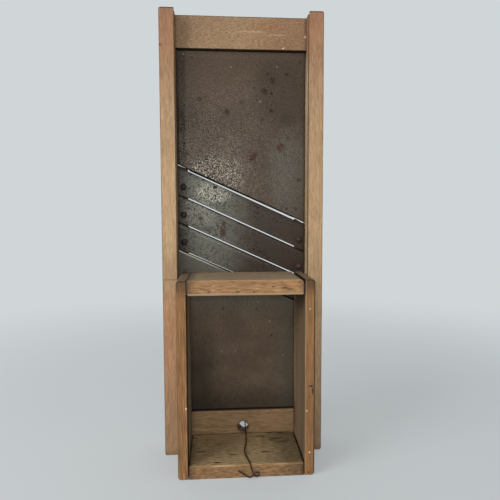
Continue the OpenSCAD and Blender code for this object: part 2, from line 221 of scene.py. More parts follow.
def swept(outline, reach):
    """A flat outline drawn out by a vector."""
    shape = bmesh.new()
    face = shape.faces.new([shape.verts.new(point) for point in outline])
    drawn = bmesh.ops.extrude_face_region(shape, geom=[face])["geom"]
    bmesh.ops.translate(shape, vec=reach, verts=[v for v in drawn if isinstance(v, bmesh.types.BMVert)])
    bmesh.ops.recalc_face_normals(shape, faces=shape.faces)
    return shape


def copy_of(node):
    """A merged copy of a solid's mesh."""
    shape = bmesh.new()
    shape.from_mesh(frame["nodes"][node].data)
    bmesh.ops.remove_doubles(shape, verts=shape.verts, dist=NEAR / 10)
    bmesh.ops.dissolve_limit(
        shape, angle_limit=math.radians(1), use_dissolve_boundaries=False,
        verts=shape.verts, edges=shape.edges,
    )
    return shape


def is_at(vert, place):
    """Whether a vertex lies at the given coordinates."""
    return all(abs(vert.co[AXES[axis]] - value) < NEAR for axis, value in place.items())


def edges_at(shape, **place):
    """Edges that lie at the given coordinates, such as x=0.1 and z=0."""
    return [edge for edge in shape.edges if all(is_at(vert, place) for vert in edge.verts)]


def rounded(shape, edges, radius, segments):
    """Rounds edges and returns what is new."""
    return bmesh.ops.bevel(
        shape, geom=edges, offset=radius, offset_type="OFFSET", segments=segments, profile=0.5,
        affect="EDGES", clamp_overlap=True, material=-1,
    )


def rub_edges(shape, radius, shortest=0.0):
    """Rounds the outer edges, but for short ones, and marks the middle of the rounding as worn."""
    mark = shape.verts.layers.float.new(EDGE)
    outer = [
        edge for edge in shape.edges
        if edge.is_convex and edge.calc_face_angle() > SHARP and edge.calc_length() > shortest
    ]
    new = rounded(shape, outer, radius, 3)
    rims = set(new["faces"])
    for vert in new["verts"]:
        vert[mark] = all(face in rims for face in vert.link_faces)


def cut_at(shape, axis, places):
    """Cuts a shape across an axis without opening it."""
    normal = Vector([float(axis == other) for other in range(3)])
    for place in places:
        bmesh.ops.bisect_plane(
            shape, geom=shape.verts[:] + shape.edges[:] + shape.faces[:], dist=NEAR / 10,
            plane_co=normal * place, plane_no=normal,
        )


def slice_along(shape, axis, step):
    """Cuts a shape at even steps along an axis."""
    places = [vert.co[axis] for vert in shape.verts]
    low, high = min(places), max(places)
    count = int((high - low) / step)
    cut_at(shape, axis, [low + (high - low) * (i + 0.5) / count for i in range(count)])


def weather(shape, seed, wave, chip):
    """Draws the faces in by a slow wave and dents the worn edges."""
    mark = shape.verts.layers.float[EDGE]
    shape.normal_update()
    for vert in shape.verts:
        slow = 0.5 + 0.5 * noise.noise(vert.co * BOARD_WAVES + seed)
        rough = max(0.0, noise.noise(vert.co * BOARD_CHIPS + seed) - 0.1)
        vert.co -= vert.normal * (wave * slow + chip * rough * vert[mark])


def finish_piece(shape, node, material, smooth=True):
    """Makes a shape the piece that stands for a node and rides on its body."""
    loose = [edge for edge in shape.edges if not edge.is_manifold]
    if loose:
        raise RuntimeError(f"{node}: {len(loose)} edges of its piece are open")
    mesh = bpy.data.meshes.new(f"worn_{node}")
    shape.to_mesh(mesh)
    shape.free()
    mesh.materials.append(material)
    if smooth:
        mesh.shade_smooth()
        mesh.set_sharp_from_angle(angle=SHARP)
    piece = bpy.data.objects.new(mesh.name, mesh)
    bpy.context.scene.collection.objects.link(piece)
    even = piece.modifiers.new("even_normals", "WEIGHTED_NORMAL")
    even.keep_sharp = True
    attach(piece, frame["nodes"][node]["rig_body"])
    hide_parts(node)


def dress(node, material):
    """Gives a solid that is shown as it is its finish."""
    slots = frame["nodes"][node].data.materials
    slots.clear()
    slots.append(material)


# Shader building

def add_node(tree, kind, inputs=(), **options):
    """Adds a shader node, sets its options and fills its sockets with values or links."""
    node = tree.nodes.new(kind)
    for option, value in options.items():
        setattr(node, option, value)
    for socket, value in dict(inputs).items():
        if isinstance(value, bpy.types.NodeSocket):
            tree.links.new(value, node.inputs[socket])
        else:
            node.inputs[socket].default_value = value
    return node


def calc(tree, operation, *values):
    """One step of arithmetic."""
    return add_node(tree, "ShaderNodeMath", enumerate(values), operation=operation).outputs[0]


def vector(tree, operation, *values):
    """One step of vector arithmetic."""
    step = add_node(tree, "ShaderNodeVectorMath", enumerate(values), operation=operation)
    return step.outputs["Value" if operation in ("DISTANCE", "DOT_PRODUCT", "LENGTH") else "Vector"]


def ranged(tree, value, low, high, to_low=0.0, to_high=1.0):
    """Eases a value from one range to another."""
    limits = {"Value": value, "From Min": low, "From Max": high, "To Min": to_low, "To Max": to_high}
    return add_node(tree, "ShaderNodeMapRange", limits, interpolation_type="SMOOTHSTEP").outputs[0]


def mixed(tree, share, first, second, blend="MIX"):
    """Mixes two colours by a share."""
    def full(colour):
        return colour if isinstance(colour, bpy.types.NodeSocket) else (*colour, 1)
    inputs = {0: share, 6: full(first), 7: full(second)}
    return add_node(tree, "ShaderNodeMix", inputs, data_type="RGBA", blend_type=blend).outputs[2]


def noisy(tree, place, scale, detail=2.0, roughness=0.5, distortion=0.0):
    """Soft noise over a place."""
    inputs = {"Vector": place, "Scale": scale, "Detail": detail}
    inputs |= {"Roughness": roughness, "Distortion": distortion}
    return add_node(tree, "ShaderNodeTexNoise", inputs).outputs["Fac"]


def shaded(colour, share):
    """A colour made lighter or darker."""
    return tuple(min(1.0, part * share) for part in colour)


def new_group(name, inputs, outputs):
    """A shader group with named sockets, and its inner ends."""
    tree = bpy.data.node_groups.new(name, "ShaderNodeTree")
    for label, default in inputs.items():
        kind = "NodeSocketFloat" if isinstance(default, float) else "NodeSocketVector"
        tree.interface.new_socket(label, in_out="INPUT", socket_type=kind).default_value = default
    for label in outputs:
        tree.interface.new_socket(label, in_out="OUTPUT", socket_type="NodeSocketFloat")
    return tree, tree.nodes.new("NodeGroupInput").outputs, tree.nodes.new("NodeGroupOutput").inputs


def link_out(tree, ends, **values):
    """Links a group's results to its outputs."""
    for label, value in values.items():
        tree.links.new(value, ends[label.replace("_", " ").title()])


def wood_figure():
    """Figure of sawn wood; Grain is how often it repeats in a metre along each axis."""
    tree, given, ends = new_group(
        "Wood Figure",
        {"Position": (0, 0, 0), "Grain": (200, 200, 6), "Seed": (0, 0, 0)},
        ["Bands", "Dashes", "Fibre", "Flecks", "Blotch"],
    )
    stretched = vector(tree, "MULTIPLY_ADD", given["Position"], given["Grain"], given["Seed"])
    moved = vector(tree, "ADD", given["Position"], given["Seed"])
    cells = add_node(tree, "ShaderNodeTexVoronoi", {"Vector": stretched, "Scale": 3.0})
    sparse = ranged(tree, noisy(tree, moved, 45.0), 0.45, 0.65)
    flecks = calc(tree, "MULTIPLY", ranged(tree, cells.outputs["Distance"], 0.3, 0.1), sparse)
    link_out(
        tree, ends, bands=noisy(tree, stretched, 1.0, 3.0, 0.6, 0.8), dashes=noisy(tree, stretched, 3.0, 1.0),
        fibre=noisy(tree, stretched, 7.0, 3.0, 0.65), flecks=flecks,
        blotch=noisy(tree, moved, 16.0, 4.0, 0.6),
    )
    return tree


def steel_patina():
    """Clouds, grain, crowded pits, even dots and bright specks of old sheet steel."""
    tree, given, ends = new_group(
        "Steel Patina",
        {"Position": (0, 0, 0), "Seed": (0, 0, 0)},
        ["Clouds", "Grain", "Pits", "Dots", "Specks"],
    )
    place = vector(tree, "ADD", given["Position"], given["Seed"])
    cells = add_node(tree, "ShaderNodeTexVoronoi", {"Vector": place, "Scale": 300.0})
    crowd = ranged(tree, noisy(tree, place, 50.0, 3.0), 0.42, 0.6)
    pits = calc(tree, "MULTIPLY", ranged(tree, cells.outputs["Distance"], 0.42, 0.22), crowd)
    link_out(
        tree, ends, clouds=noisy(tree, place, 28.0, 5.0, 0.62), grain=noisy(tree, place, 760.0, 3.0, 0.6),
        pits=pits, dots=ranged(tree, noisy(tree, place, 430.0, 2.0), 0.54, 0.64),
        specks=ranged(tree, noisy(tree, place, 900.0, 1.0), 0.53, 0.62),
    )
    return tree


def ragged_spot():
    """One spot with a ragged rim; Radius is given along each axis."""
    tree, given, ends = new_group(
        "Ragged Spot",
        {"Position": (0, 0, 0), "Centre": (0, 0, 0), "Radius": (0.01, 0.01, 0.01), "Ragged": 0.6},
        ["Mask"],
    )
    offset = vector(tree, "SUBTRACT", given["Position"], given["Centre"])
    offset = vector(tree, "DIVIDE", offset, given["Radius"])
    rim = calc(tree, "SUBTRACT", noisy(tree, given["Position"], 420.0, 3.0, 0.6), 0.5)
    reach = calc(tree, "MULTIPLY_ADD", rim, given["Ragged"], vector(tree, "LENGTH", offset))
    link_out(tree, ends, mask=ranged(tree, reach, 1.1, 0.5))
    return tree


def ragged_reach():
    """What lies beyond a line; the mask starts at From along Direction and is full at To."""
    tree, given, ends = new_group(
        "Ragged Reach",
        {"Position": (0, 0, 0), "Direction": (0, 0, 1), "From": 0.0, "To": 0.01, "Ragged": 0.0},
        ["Mask"],
    )
    rim = calc(tree, "SUBTRACT", noisy(tree, given["Position"], 160.0, 3.0, 0.6), 0.5)
    along = vector(tree, "DOT_PRODUCT", given["Position"], given["Direction"])
    reach = calc(tree, "MULTIPLY_ADD", rim, given["Ragged"], along)
    link_out(tree, ends, mask=ranged(tree, reach, given["From"], given["To"]))
    return tree


def group_node(tree, build, inputs):
    """Places a shader group, building it the first time."""
    name = build.__name__.replace("_", " ").title()
    return add_node(
        tree, "ShaderNodeGroup", inputs, node_tree=bpy.data.node_groups.get(name) or build()
    ).outputs


def new_material(name, **constants):
    """A material, its tree, its shader and the place on the piece; constants are the same all over."""
    material = bpy.data.materials.new(name)
    material.use_nodes = True
    tree = material.node_tree
    shader = tree.nodes["Principled BSDF"]
    for socket, value in constants.items():
        shader.inputs[socket.replace("_", " ")].default_value = value
    return material, tree, shader, add_node(tree, "ShaderNodeTexCoord").outputs["Object"]


def towards(direction, low=0.35, high=0.85):
    """A mask of the faces that look in a direction."""
    def mask(tree, place):
        normal = add_node(tree, "ShaderNodeNewGeometry").outputs["Normal"]
        return ranged(tree, vector(tree, "DOT_PRODUCT", normal, direction), low, high)
    return mask


def beyond(direction, low, high, ragged=0.0):
    """A mask that starts at one distance along a direction and is full at another, in millimetres."""
    def mask(tree, place):
        line = {"From": low * MM, "To": high * MM, "Ragged": ragged * MM}
        return group_node(tree, ragged_reach, {"Position": place, "Direction": direction, **line})["Mask"]
    return mask


def by_edge(direction, edge, start, full, ragged=0.0):
    """A mask that starts some millimetres before an edge, which is given in metres, and is full nearer."""
    return beyond(direction, edge / MM - start, edge / MM - full, ragged)


def spot(centre, radii, ragged=0.6):
    """A mask of one spot."""
    def mask(tree, place):
        inputs = {"Position": place, "Centre": centre, "Radius": radii, "Ragged": ragged}
        return group_node(tree, ragged_spot, inputs)["Mask"]
    return mask


def specks(tree, place):
    """A mask of fine bright specks."""
    return group_node(tree, steel_patina, {"Position": place})["Specks"]


def dots(tree, place):
    """A mask of dark dots."""
    return group_node(tree, steel_patina, {"Position": place})["Dots"]


def where_all(*masks):
    """Where all masks meet."""
    def mask(tree, place):
        share = masks[0](tree, place)
        for other in masks[1:]:
            share = calc(tree, "MULTIPLY", share, other(tree, place))
        return share
    return mask


def front_spots(face, rows, deep=3, ragged=0.6):
    """Layers of spots on a front face; a row is x, z, width and height in millimetres, tone and strength."""
    return [
        (spot(at(x, face, z), at(wide, deep, tall), ragged), tone, strength)
        for x, z, wide, tall, tone, strength in rows
    ]


def layered(tree, place, tone, layers):
    """Lays tones over a colour; each layer is a mask, a tone and a strength."""
    for mask, colour, strength in layers:
        tone = mixed(tree, calc(tree, "MULTIPLY", mask(tree, place), strength), tone, colour)
    return tone


def bumped(tree, shader, height, depth, strength):
    """Raises the surface by a height."""
    relief = add_node(tree, "ShaderNodeBump", {"Height": height, "Distance": depth, "Strength": strength})
    tree.links.new(relief.outputs[0], shader.inputs["Normal"])


def wood_finish(
    name, colour, along, seed, stains=(), marks=(),
    edge=None, grain=(190.0, 6.0), bands=0.1, dashes=0.2, tilt=0.0,
):
    """Old bare wood with its grain along one axis; stains take up the figure and marks lie over it."""
    wood = bpy.context.scene.cutter.wood
    material, tree, shader, place = new_material(name, Specular_IOR_Level=0.25)
    repeats = [grain[0]] * 3
    repeats[along] = grain[1]
    turn = {"Vector": place, "Axis": BACK, "Angle": tilt}
    turned = add_node(tree, "ShaderNodeVectorRotate", turn).outputs[0]
    figure = group_node(tree, wood_figure, {"Position": turned, "Grain": repeats, "Seed": seed})
    tone = mixed(tree, ranged(tree, figure["Blotch"], 0.35, 0.7), shaded(colour, 1.06), shaded(colour, 0.86))
    tone = layered(tree, place, tone, stains)
    shade = ranged(tree, figure["Bands"], 0.3, 0.7, 1 - bands, 1 + bands)
    shade = calc(tree, "MULTIPLY", shade, ranged(tree, figure["Dashes"], 0.3, 0.7, 1 - dashes, 1 + dashes))
    shade = calc(tree, "MULTIPLY", shade, ranged(tree, figure["Fibre"], 0.5, 0.8, 1.0, 0.82))
    tone = mixed(tree, 1.0, tone, shade, "MULTIPLY")
    tone = mixed(tree, calc(tree, "MULTIPLY", figure["Flecks"], 0.5), tone, wood.grime)
    tone = layered(tree, place, tone, marks)
    lengthwise = [float(along == other) for other in range(3)]
    normal = add_node(tree, "ShaderNodeNewGeometry").outputs["Normal"]
    facing = calc(tree, "ABSOLUTE", vector(tree, "DOT_PRODUCT", normal, lengthwise))
    tone = mixed(tree, ranged(tree, facing, 0.6, 0.95, 0.0, 0.6), tone, shaded(wood.grime, 1.8))
    edge_tone, edge_strength = edge or (wood.grime, 0.4)
    rubbed = add_node(tree, "ShaderNodeAttribute", attribute_name=EDGE).outputs["Fac"]
    patchy = ranged(tree, figure["Blotch"], 0.3, 0.65, 0.3 * edge_strength, edge_strength)
    tone = mixed(tree, calc(tree, "MULTIPLY", rubbed, patchy), tone, edge_tone)
    tree.links.new(tone, shader.inputs["Base Color"])
    tree.links.new(ranged(tree, figure["Fibre"], 0.3, 0.8, 0.58, 0.82), shader.inputs["Roughness"])
    raised = calc(tree, "ADD", figure["Fibre"], figure["Dashes"])
    bumped(tree, shader, calc(tree, "MULTIPLY_ADD", figure["Flecks"], -0.8, raised), 0.0004, 0.4)
    return material


def steel_finish(name, colour, seed, stains=(), marks=(), pitting=0.25):
    """Dark sheet steel with a grainy patina, pits and rust."""
    steel = bpy.context.scene.cutter.steel
    material, tree, shader, place = new_material(name, Metallic=0.12, Specular_IOR_Level=0.1)
    patina = group_node(tree, steel_patina, {"Position": place, "Seed": seed})
    tone = mixed(tree, ranged(tree, patina["Clouds"], 0.3, 0.7), shaded(colour, 0.85), shaded(colour, 1.15))
    tone = layered(tree, place, tone, stains)
    tone = mixed(tree, 1.0, tone, ranged(tree, patina["Grain"], 0.3, 0.7, 0.8, 1.22), "MULTIPLY")
    tone = mixed(tree, calc(tree, "MULTIPLY", patina["Pits"], pitting), tone, steel.pit)
    tone = layered(tree, place, tone, marks)
    tree.links.new(tone, shader.inputs["Base Color"])
    bright = add_node(tree, "ShaderNodeRGBToBW", {"Color": tone}).outputs[0]
    dull = ranged(tree, bright, 0.012, 0.035, 0.85, 0.26)
    rough = calc(tree, "MAXIMUM", dull, ranged(tree, patina["Grain"], 0.35, 0.65, 0.42, 0.26))
    tree.links.new(rough, shader.inputs["Roughness"])
    height = calc(tree, "MULTIPLY_ADD", patina["Pits"], -0.6, patina["Grain"])
    bumped(tree, shader, height, 0.0002, 0.5)
    return material


def iron_finish(name, colour, seed, rust=0.6):
    """Dark iron with red rust in clouds."""
    steel = bpy.context.scene.cutter.steel
    material, tree, shader, place = new_material(name, Metallic=0.3)
    patina = group_node(tree, steel_patina, {"Position": place, "Seed": seed})
    rusty = ranged(tree, noisy(tree, place, 320.0, 4.0, 0.65), 0.45, 0.68)
    tone = mixed(tree, calc(tree, "MULTIPLY", rusty, rust), colour, steel.rust)
    tone = mixed(tree, calc(tree, "MULTIPLY", patina["Pits"], 0.6), tone, steel.pit)
    tree.links.new(tone, shader.inputs["Base Color"])
    tree.links.new(ranged(tree, rusty, 0.0, 1.0, 0.5, 0.85), shader.inputs["Roughness"])
    bumped(tree, shader, calc(tree, "ADD", rusty, patina["Grain"]), 0.0002, 0.6)
    return material


# Camera and wire

CAMERA_PLACE = Vector((-0.0325, -0.5744, 0.3052))
CAMERA_FORWARD = Vector((0.0699, 0.9951, -0.0698))
CAMERA_UP = Vector((0.0080, 0.0694, 0.9976))
CAMERA_LENS = 33.5
CAMERA_SENSOR = 36.0
CAMERA_CLIP = 0.01, 50.0


class CUTTER_OT_add_camera(bpy.types.Operator):
    """Adds the camera at the photograph's viewing angle"""
    bl_idname = "cutter.add_camera"
    bl_label = "Add Camera"

    def execute(self, context):
        lens = bpy.data.cameras.new("view")
        lens.lens, lens.sensor_width = CAMERA_LENS, CAMERA_SENSOR
        lens.clip_start, lens.clip_end = CAMERA_CLIP
        camera = bpy.data.objects.new("view", lens)
        context.scene.collection.objects.link(camera)
        side = CAMERA_FORWARD.cross(CAMERA_UP).normalized()
        up = side.cross(CAMERA_FORWARD).normalized()
        turn = Matrix((side, up, -CAMERA_FORWARD.normalized())).transposed().to_4x4()
        camera.matrix_world = Matrix.Translation(CAMERA_PLACE) @ turn
        context.scene.camera = camera
        return {"FINISHED"}


WIRE_DIAMETER = 0.0016
# From the hook behind the foot crossbar to the free end, in millimetres
WIRE_ROUTE = [at(*point) for point in (
    (2.2, 47.2, 41), (2.6, 47.2, 36), (3, 47.2, 31), (3.3, 47.2, 27), (3.5, 46.6, 23.4),
    (3.6, 45, 20.8), (3.6, 42, 19.8), (3.6, 38, 19.6), (3.6, 34, 19.4), (3.7, 30, 18.6),
    (3.7, 26, 17.6), (3.6, 22, 17.2), (3.4, 17, 17.2), (3, 12, 17.2), (2.6, 7, 17.2),
    (2, 2, 17.2), (1.4, -3, 17.2), (0.4, -8, 17.2), (-0.4, -13, 17.2), (-0.9, -18, 17.2),
    (-0.9, -23, 17.2), (-0.4, -28, 17.2), (0.5, -33, 17.2), (1.6, -38, 17.2), (2.8, -43, 17.2),
    (3.4, -46, 17), (4, -48.2, 16), (4.6, -49.6, 14.2), (5.2, -50, 12), (6, -50, 9.8),
    (6.8, -50, 7.6), (7.5, -50, 5.2), (8.6, -50, 3.2), (10.6, -50.2, 2.2), (12.8, -50.6, 2.6),
    (14.2, -51, 4.4), (14, -51.4, 6.6), (12.2, -51.8, 7.8), (10.2, -52.1, 7), (8.4, -52.2, 5.4),
    (6.2, -52.2, 3.6), (3.6, -52, 2.4), (1, -51.6, 2.8), (-1.4, -51.2, 4), (-4, -50.8, 5.8),
    (-7, -50.4, 7.8), (-10, -50.2, 9.8),
)]


def bent_wire(name, route, diameter, material):
    """A round wire along a route."""
    line = bpy.data.curves.new(name, "CURVE")
    line.dimensions = "3D"
    line.bevel_depth = diameter / 2
    line.bevel_resolution = 4
    line.resolution_u = 6
    line.use_fill_caps = True
    spline = line.splines.new("BEZIER")
    spline.bezier_points.add(len(route) - 1)
    for knot, place in zip(spline.bezier_points, route):
        knot.co = place
        knot.handle_left_type = knot.handle_right_type = "AUTO"
    line.materials.append(material)
    wire = bpy.data.objects.new(name, line)
    bpy.context.scene.collection.objects.link(wire)
    return wire


class CUTTER_OT_add_wire(bpy.types.Operator):
    """Adds the rusty wire that hangs the board up"""
    bl_idname = "cutter.add_wire"
    bl_label = "Add Wire"

    def execute(self, context):
        rusty = iron_finish("rusty_wire", context.scene.cutter.steel.wire, (0.3, 0.1, 0.7))
        wire = bent_wire("bent_wire", WIRE_ROUTE, WIRE_DIAMETER, rusty)
        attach(wire, "frame")
        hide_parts("hanging_wire")
        return {"FINISHED"}


# Boards

def finish_board(shape, node, along, seed, colour, stains, marks, chip=1.0, **figure):
    """Wears a board's edges, lets it wave and gives it its wood."""
    sizes = bpy.context.scene.cutter.shape
    rub_edges(shape, sizes.edge_wear)
    slice_along(shape, along, sizes.slice)
    weather(shape, Vector(seed), sizes.wave, sizes.chip * chip)
    finish_piece(shape, node, wood_finish(f"{node}_wood", colour, along, seed, stains, marks, **figure))


def add_rail(cutter, node, side, foot, shade, inside, glow, marks):
    """A rail with its groove; side is -1 at the left, foot, shade and inside are tones with strengths, and
    glow is the strength of a painted pool of light.
    """
    sizes, wood = cutter.shape, cutter.wood
    low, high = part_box(node)
    inner, outer = (low.x, high.x) if side > 0 else (high.x, low.x)
    near = low.y + sizes.groove_lip
    far = near + sizes.groove_width
    floor = inner + side * sizes.groove_depth
    outline = [
        (inner, low.y), (outer, low.y), (outer, high.y), (inner, high.y),
        (inner, far), (floor, far), (floor, near), (inner, near),
    ]
    shape = swept([(x, y, low.z) for x, y in outline], UP * (high.z - low.z))
    ends = edges_at(shape, x=outer, z=low.z) + edges_at(shape, x=outer, z=high.z)
    rounded(shape, ends, sizes.rail_corner, 6)
    groove = Vector(((inner + floor) / 2, (near + far) / 2, high.z / 2))
    # Painted light: the middle of the rail's front is lit brightest, in a pool of light
    lit_middle = Vector((outer, low.y, high.z * 0.6))
    front_edge = where_all(by_edge(RIGHT * side, abs(outer), 1.5, 0.6, 0.6), by_edge(-BACK, -low.y, 5, 2))
    stains = [
        # The lower part's tone: redder wood on the left rail, painted light on the right one where the box
        # would shade it
        (beyond(-UP, -250, -200, 40), *foot),
        (beyond(-UP, -160, -10, 20), *shade),
        # The inner face's tone: painted shade on the left rail and painted light on the right one
        (towards(RIGHT * -side), *inside),
        # Painted light, a pool over the middle of the rail
        (spot(lit_middle, at(60, 60, 170), 0.2), shaded(wood.rail, 1.25), 0.6),
        (beyond(UP, 250, 350, 40), shaded(wood.ruddy, 1.1), 0.25),
        # Painted light, a smaller, brighter pool just below the middle, of strength glow
        (spot(lit_middle - at(0, 0, 14), at(60, 60, 75), 0.2), shaded(wood.rail, 1.6), glow),
        (by_edge(UP, high.z, 120, 20, 40), shaded(wood.ruddy, 0.9), 0.95),
        (by_edge(UP, high.z, 30, 0, 20), shaded(wood.ruddy, 0.75), 0.4),
        (beyond(-UP, -15, 0, 10), wood.grime, 0.3),
        (spot(groove, at(9, 4.8, 600), 0.0), wood.grime, 0.95),
        (by_edge(UP, high.z, 2.6, 1, 1), wood.grime, 0.7),
        (front_edge, wood.grime, 0.4),
    ]
    finish_board(
        shape, node, Z, (side * 3.1, 1.7, 0.4), wood.rail, stains, marks,
        grain=(290, 34), bands=0.12, dashes=0.12,
    )


class CUTTER_OT_add_rails(bpy.types.Operator):
    """Adds the two grooved rails"""
    bl_idname = "cutter.add_rails"
    bl_label = "Add Rails"

    def execute(self, context):
        cutter = context.scene.cutter
        wood, face = cutter.wood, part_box("left_rail")[0].y / MM
        marks = front_spots(face, [(-100, 514.3, 1.4, 1.4, wood.grime, 0.9)], deep=4)
        marks += front_spots(face, [(-92, 227.5, 20, 1.4, shaded(wood.rail, 0.5), 0.5)], deep=10)
        # The left rail's inner face is painted darker as shade, and its middle gets a stronger pool of
        # painted light
        add_rail(
            cutter, "left_rail", -1, (shaded(wood.ruddy, 1.22), 0.7), (shaded(wood.rail, 0.75), 0.7),
            (shaded(wood.rail, 0.55), 0.6), 0.5, marks,
        )
        # The right rail's lower part and inner face are painted lighter as light falling on them
        add_rail(
            cutter, "right_rail", 1, (shaded(wood.worn, 0.75), 0.7), (shaded(wood.rail, 0.6), 0.8),
            (wood.speck, 0.95), 0.2, [],
        )
        return {"FINISHED"}


# How far the hanging hole leans from front to back
HOLE_LEAN = at(2.5, 0, 1.3)
# Half the side of the square that is cut round a hole, as a share of its radius
HOLE_PATCH = 1.6


def bore_across(shape, centre, radius, lean, segments=8):
    """Drives a round hole from front to back, leaning by a vector; segments are counted on a quarter."""
    half = radius * HOLE_PATCH
    for axis in (X, Z):
        cut_at(shape, axis, [centre[axis] + half * (2 * i / segments - 1) for i in range(segments + 1)])

    def in_patch(face, front):
        middle = face.calc_center_median()
        inside = abs(middle.x - centre.x) < half and abs(middle.z - centre.z) < half
        return inside and face.normal.y * front > 0.9

    rims = []
    for front in (-1, 1):
        faces = [face for face in shape.faces if in_patch(face, front)]
        patch = bmesh.ops.dissolve_faces(shape, faces=faces)["region"][0]
        bmesh.ops.inset_individual(shape, faces=[patch], thickness=half - radius)
        for vert in patch.verts:
            reach = Vector((vert.co.x - centre.x, 0, vert.co.z - centre.z)).normalized() * radius
            reach += lean * (front > 0)
            vert.co.x, vert.co.z = centre.x + reach.x, centre.z + reach.z
        rims += patch.edges[:]
        bmesh.ops.delete(shape, geom=[patch], context="FACES_ONLY")
    bmesh.ops.bridge_loops(shape, edges=rims)
    bmesh.ops.recalc_face_normals(shape, faces=shape.faces)


def add_head(cutter):
    """The head crossbar, slotted below for the upper plate."""
    sizes, wood = cutter.shape, cutter.wood
    low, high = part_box("head_crossbar")
    plate_low, plate_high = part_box("upper_bed_plate")
    near, far = plate_low.y - sizes.kerf_play, plate_high.y + sizes.kerf_play
    kerf = low.z + sizes.kerf_depth
    outline = [
        (low.y, low.z), (near, low.z), (near, kerf), (far, kerf), (far, low.z),
        (high.y, low.z), (high.y, high.z), (low.y, high.z),
    ]
    shape = swept([(low.x, y, z) for y, z in outline], RIGHT * (high.x - low.x))
    face = low.y / MM
    stains = [
        # Painted shade of the left rail on the bar's left end
        (spot(at(-78, face, 540), at(18, 20, 30)), shaded(wood.bar, 0.55), 0.45),
        (spot(at(32, face, 545), at(24, 10, 7)), shaded(wood.box, 1.05), 0.5),
        (beyond(RIGHT, 0, 50, 20), shaded(wood.ruddy, 0.7), 0.5),
        (beyond(RIGHT, 78, 83, 2), wood.grime, 0.6),
        (beyond(-RIGHT, 80, 83, 2), wood.grime, 0.5),
    ]
    bright = ((52.9, 518.9, 1.3, 1.3, wood.speck, 0.8), (80.9, 533.4, 1.2, 1.2, wood.speck, 0.8))
    scratches = ((14, 538.5, 20, 1.4, wood.worn, 0.4), (44, 535, 16, 1.2, wood.worn, 0.35))
    marks = [
        *front_spots(face, bright),
        *front_spots(face, scratches, ragged=1.2),
        (where_all(by_edge(UP, high.z, 1.6, 0.8), towards(-BACK)), wood.grime, 0.5),
        # Painted shade on the bar's underside
        (towards(-UP), shaded(wood.grime, 0.4), 0.9),
    ]
    finish_board(
        shape, "head_crossbar", X, (5.2, 0.3, 2.2), wood.bar, stains, marks, grain=(460, 90), dashes=0.3
    )


def add_foot(cutter):
    """The foot crossbar, stepped for the lower plate and bored for the wire."""
    sizes, wood = cutter.shape, cutter.wood
    low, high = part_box("foot_crossbar")
    plate_low, plate_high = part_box("lower_bed_plate")
    shoulder = plate_low.z - sizes.kerf_play
    outline = [
        (low.y, low.z), (high.y, low.z), (high.y, high.z),
        (plate_high.y, high.z), (plate_high.y, shoulder), (low.y, shoulder),
    ]
    shape = swept([(low.x, y, z) for y, z in outline], RIGHT * (high.x - low.x))
    hole = MOUNTS["hanging_hole"]
    centre, radius = Vector(hole["pos_m"]), hole["dims"]["r_mm"] * MM
    bore_across(shape, centre, radius, HOLE_LEAN)
    stains = [
        (towards(-BACK), shaded(wood.olive, 0.85), 0.7),
        (towards(-BACK), shaded(wood.box, 1.15), 0.3),
        (beyond(-RIGHT, 55, 75, 10), wood.grime, 0.35),
    ]
    marks = [
        (spot(centre, Vector((radius * 1.4, 0.03, radius * 1.4))), wood.grime, 0.75),
        # Painted shadow line where the lower plate meets the bar
        (by_edge(UP, shoulder, 2, 0.8, 1), shaded(wood.grime, 0.5), 0.9),
    ]
    finish_board(
        shape, "foot_crossbar", X, (1.2, 4.3, 3.9), shaded(wood.bar, 0.9), stains, marks,
        grain=(260, 26), dashes=0.2,
    )


class CUTTER_OT_add_crossbars(bpy.types.Operator):
    """Adds the head crossbar and the foot crossbar with its hanging hole"""
    bl_idname = "cutter.add_crossbars"
    bl_label = "Add Crossbars"

    def execute(self, context):
        add_head(context.scene.cutter)
        add_foot(context.scene.cutter)
        return {"FINISHED"}


LEDGERS = ("left_upper_ledger", "right_upper_ledger", "left_lower_ledger", "right_lower_ledger")


def slant_end(shape, node, sizes):
    """Slopes the end where a ledger meets its neighbour, along the first throat."""
    upper = "upper" in node
    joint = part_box(node)[0 if upper else 1].z
    across, edge = throat_line(sizes, -sizes.throat_width / 2)
    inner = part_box("right_lower_ledger")[0].x
    # How far the inner and the outer corners rise above the plate's edge, as shares of the gap
    rises = (1, 1) if upper else (1, 0) if node.startswith("left") else (0.2, -0.3)
    for vert in shape.verts:
        if is_at(vert, {"z": joint}):
            rise = rises[0 if abs(vert.co.x) < inner + NEAR else 1]
            vert.co.z = (edge + sizes.ledger_gap * rise - across.x * vert.co.x) / across.z


class CUTTER_OT_add_ledgers(bpy.types.Operator):
    """Adds the strips that carry the steel"""
    bl_idname = "cutter.add_ledgers"
    bl_label = "Add Ledgers"

    def execute(self, context):
        sizes, wood = context.scene.cutter.shape, context.scene.cutter.wood
        # Painted shade: the ledgers are dark as the shade in the gaps under the steel; the right lower one is
        # lighter, as painted light
        dark = wood_finish("ledger_wood", shaded(wood.grime, 0.8), Z, (7.1, 2.8, 1.5))
        lit_ledger = wood_finish("lit_ledger_wood", shaded(wood.grime, 1.6), Z, (7.1, 2.8, 1.5))
        for node in LEDGERS:
            shape = copy_of(node)
            slant_end(shape, node, sizes)
            rub_edges(shape, sizes.edge_wear / 2, shortest=0.03)
            finish_piece(shape, node, lit_ledger if node == "right_lower_ledger" else dark)
        return {"FINISHED"}


# Sliding box

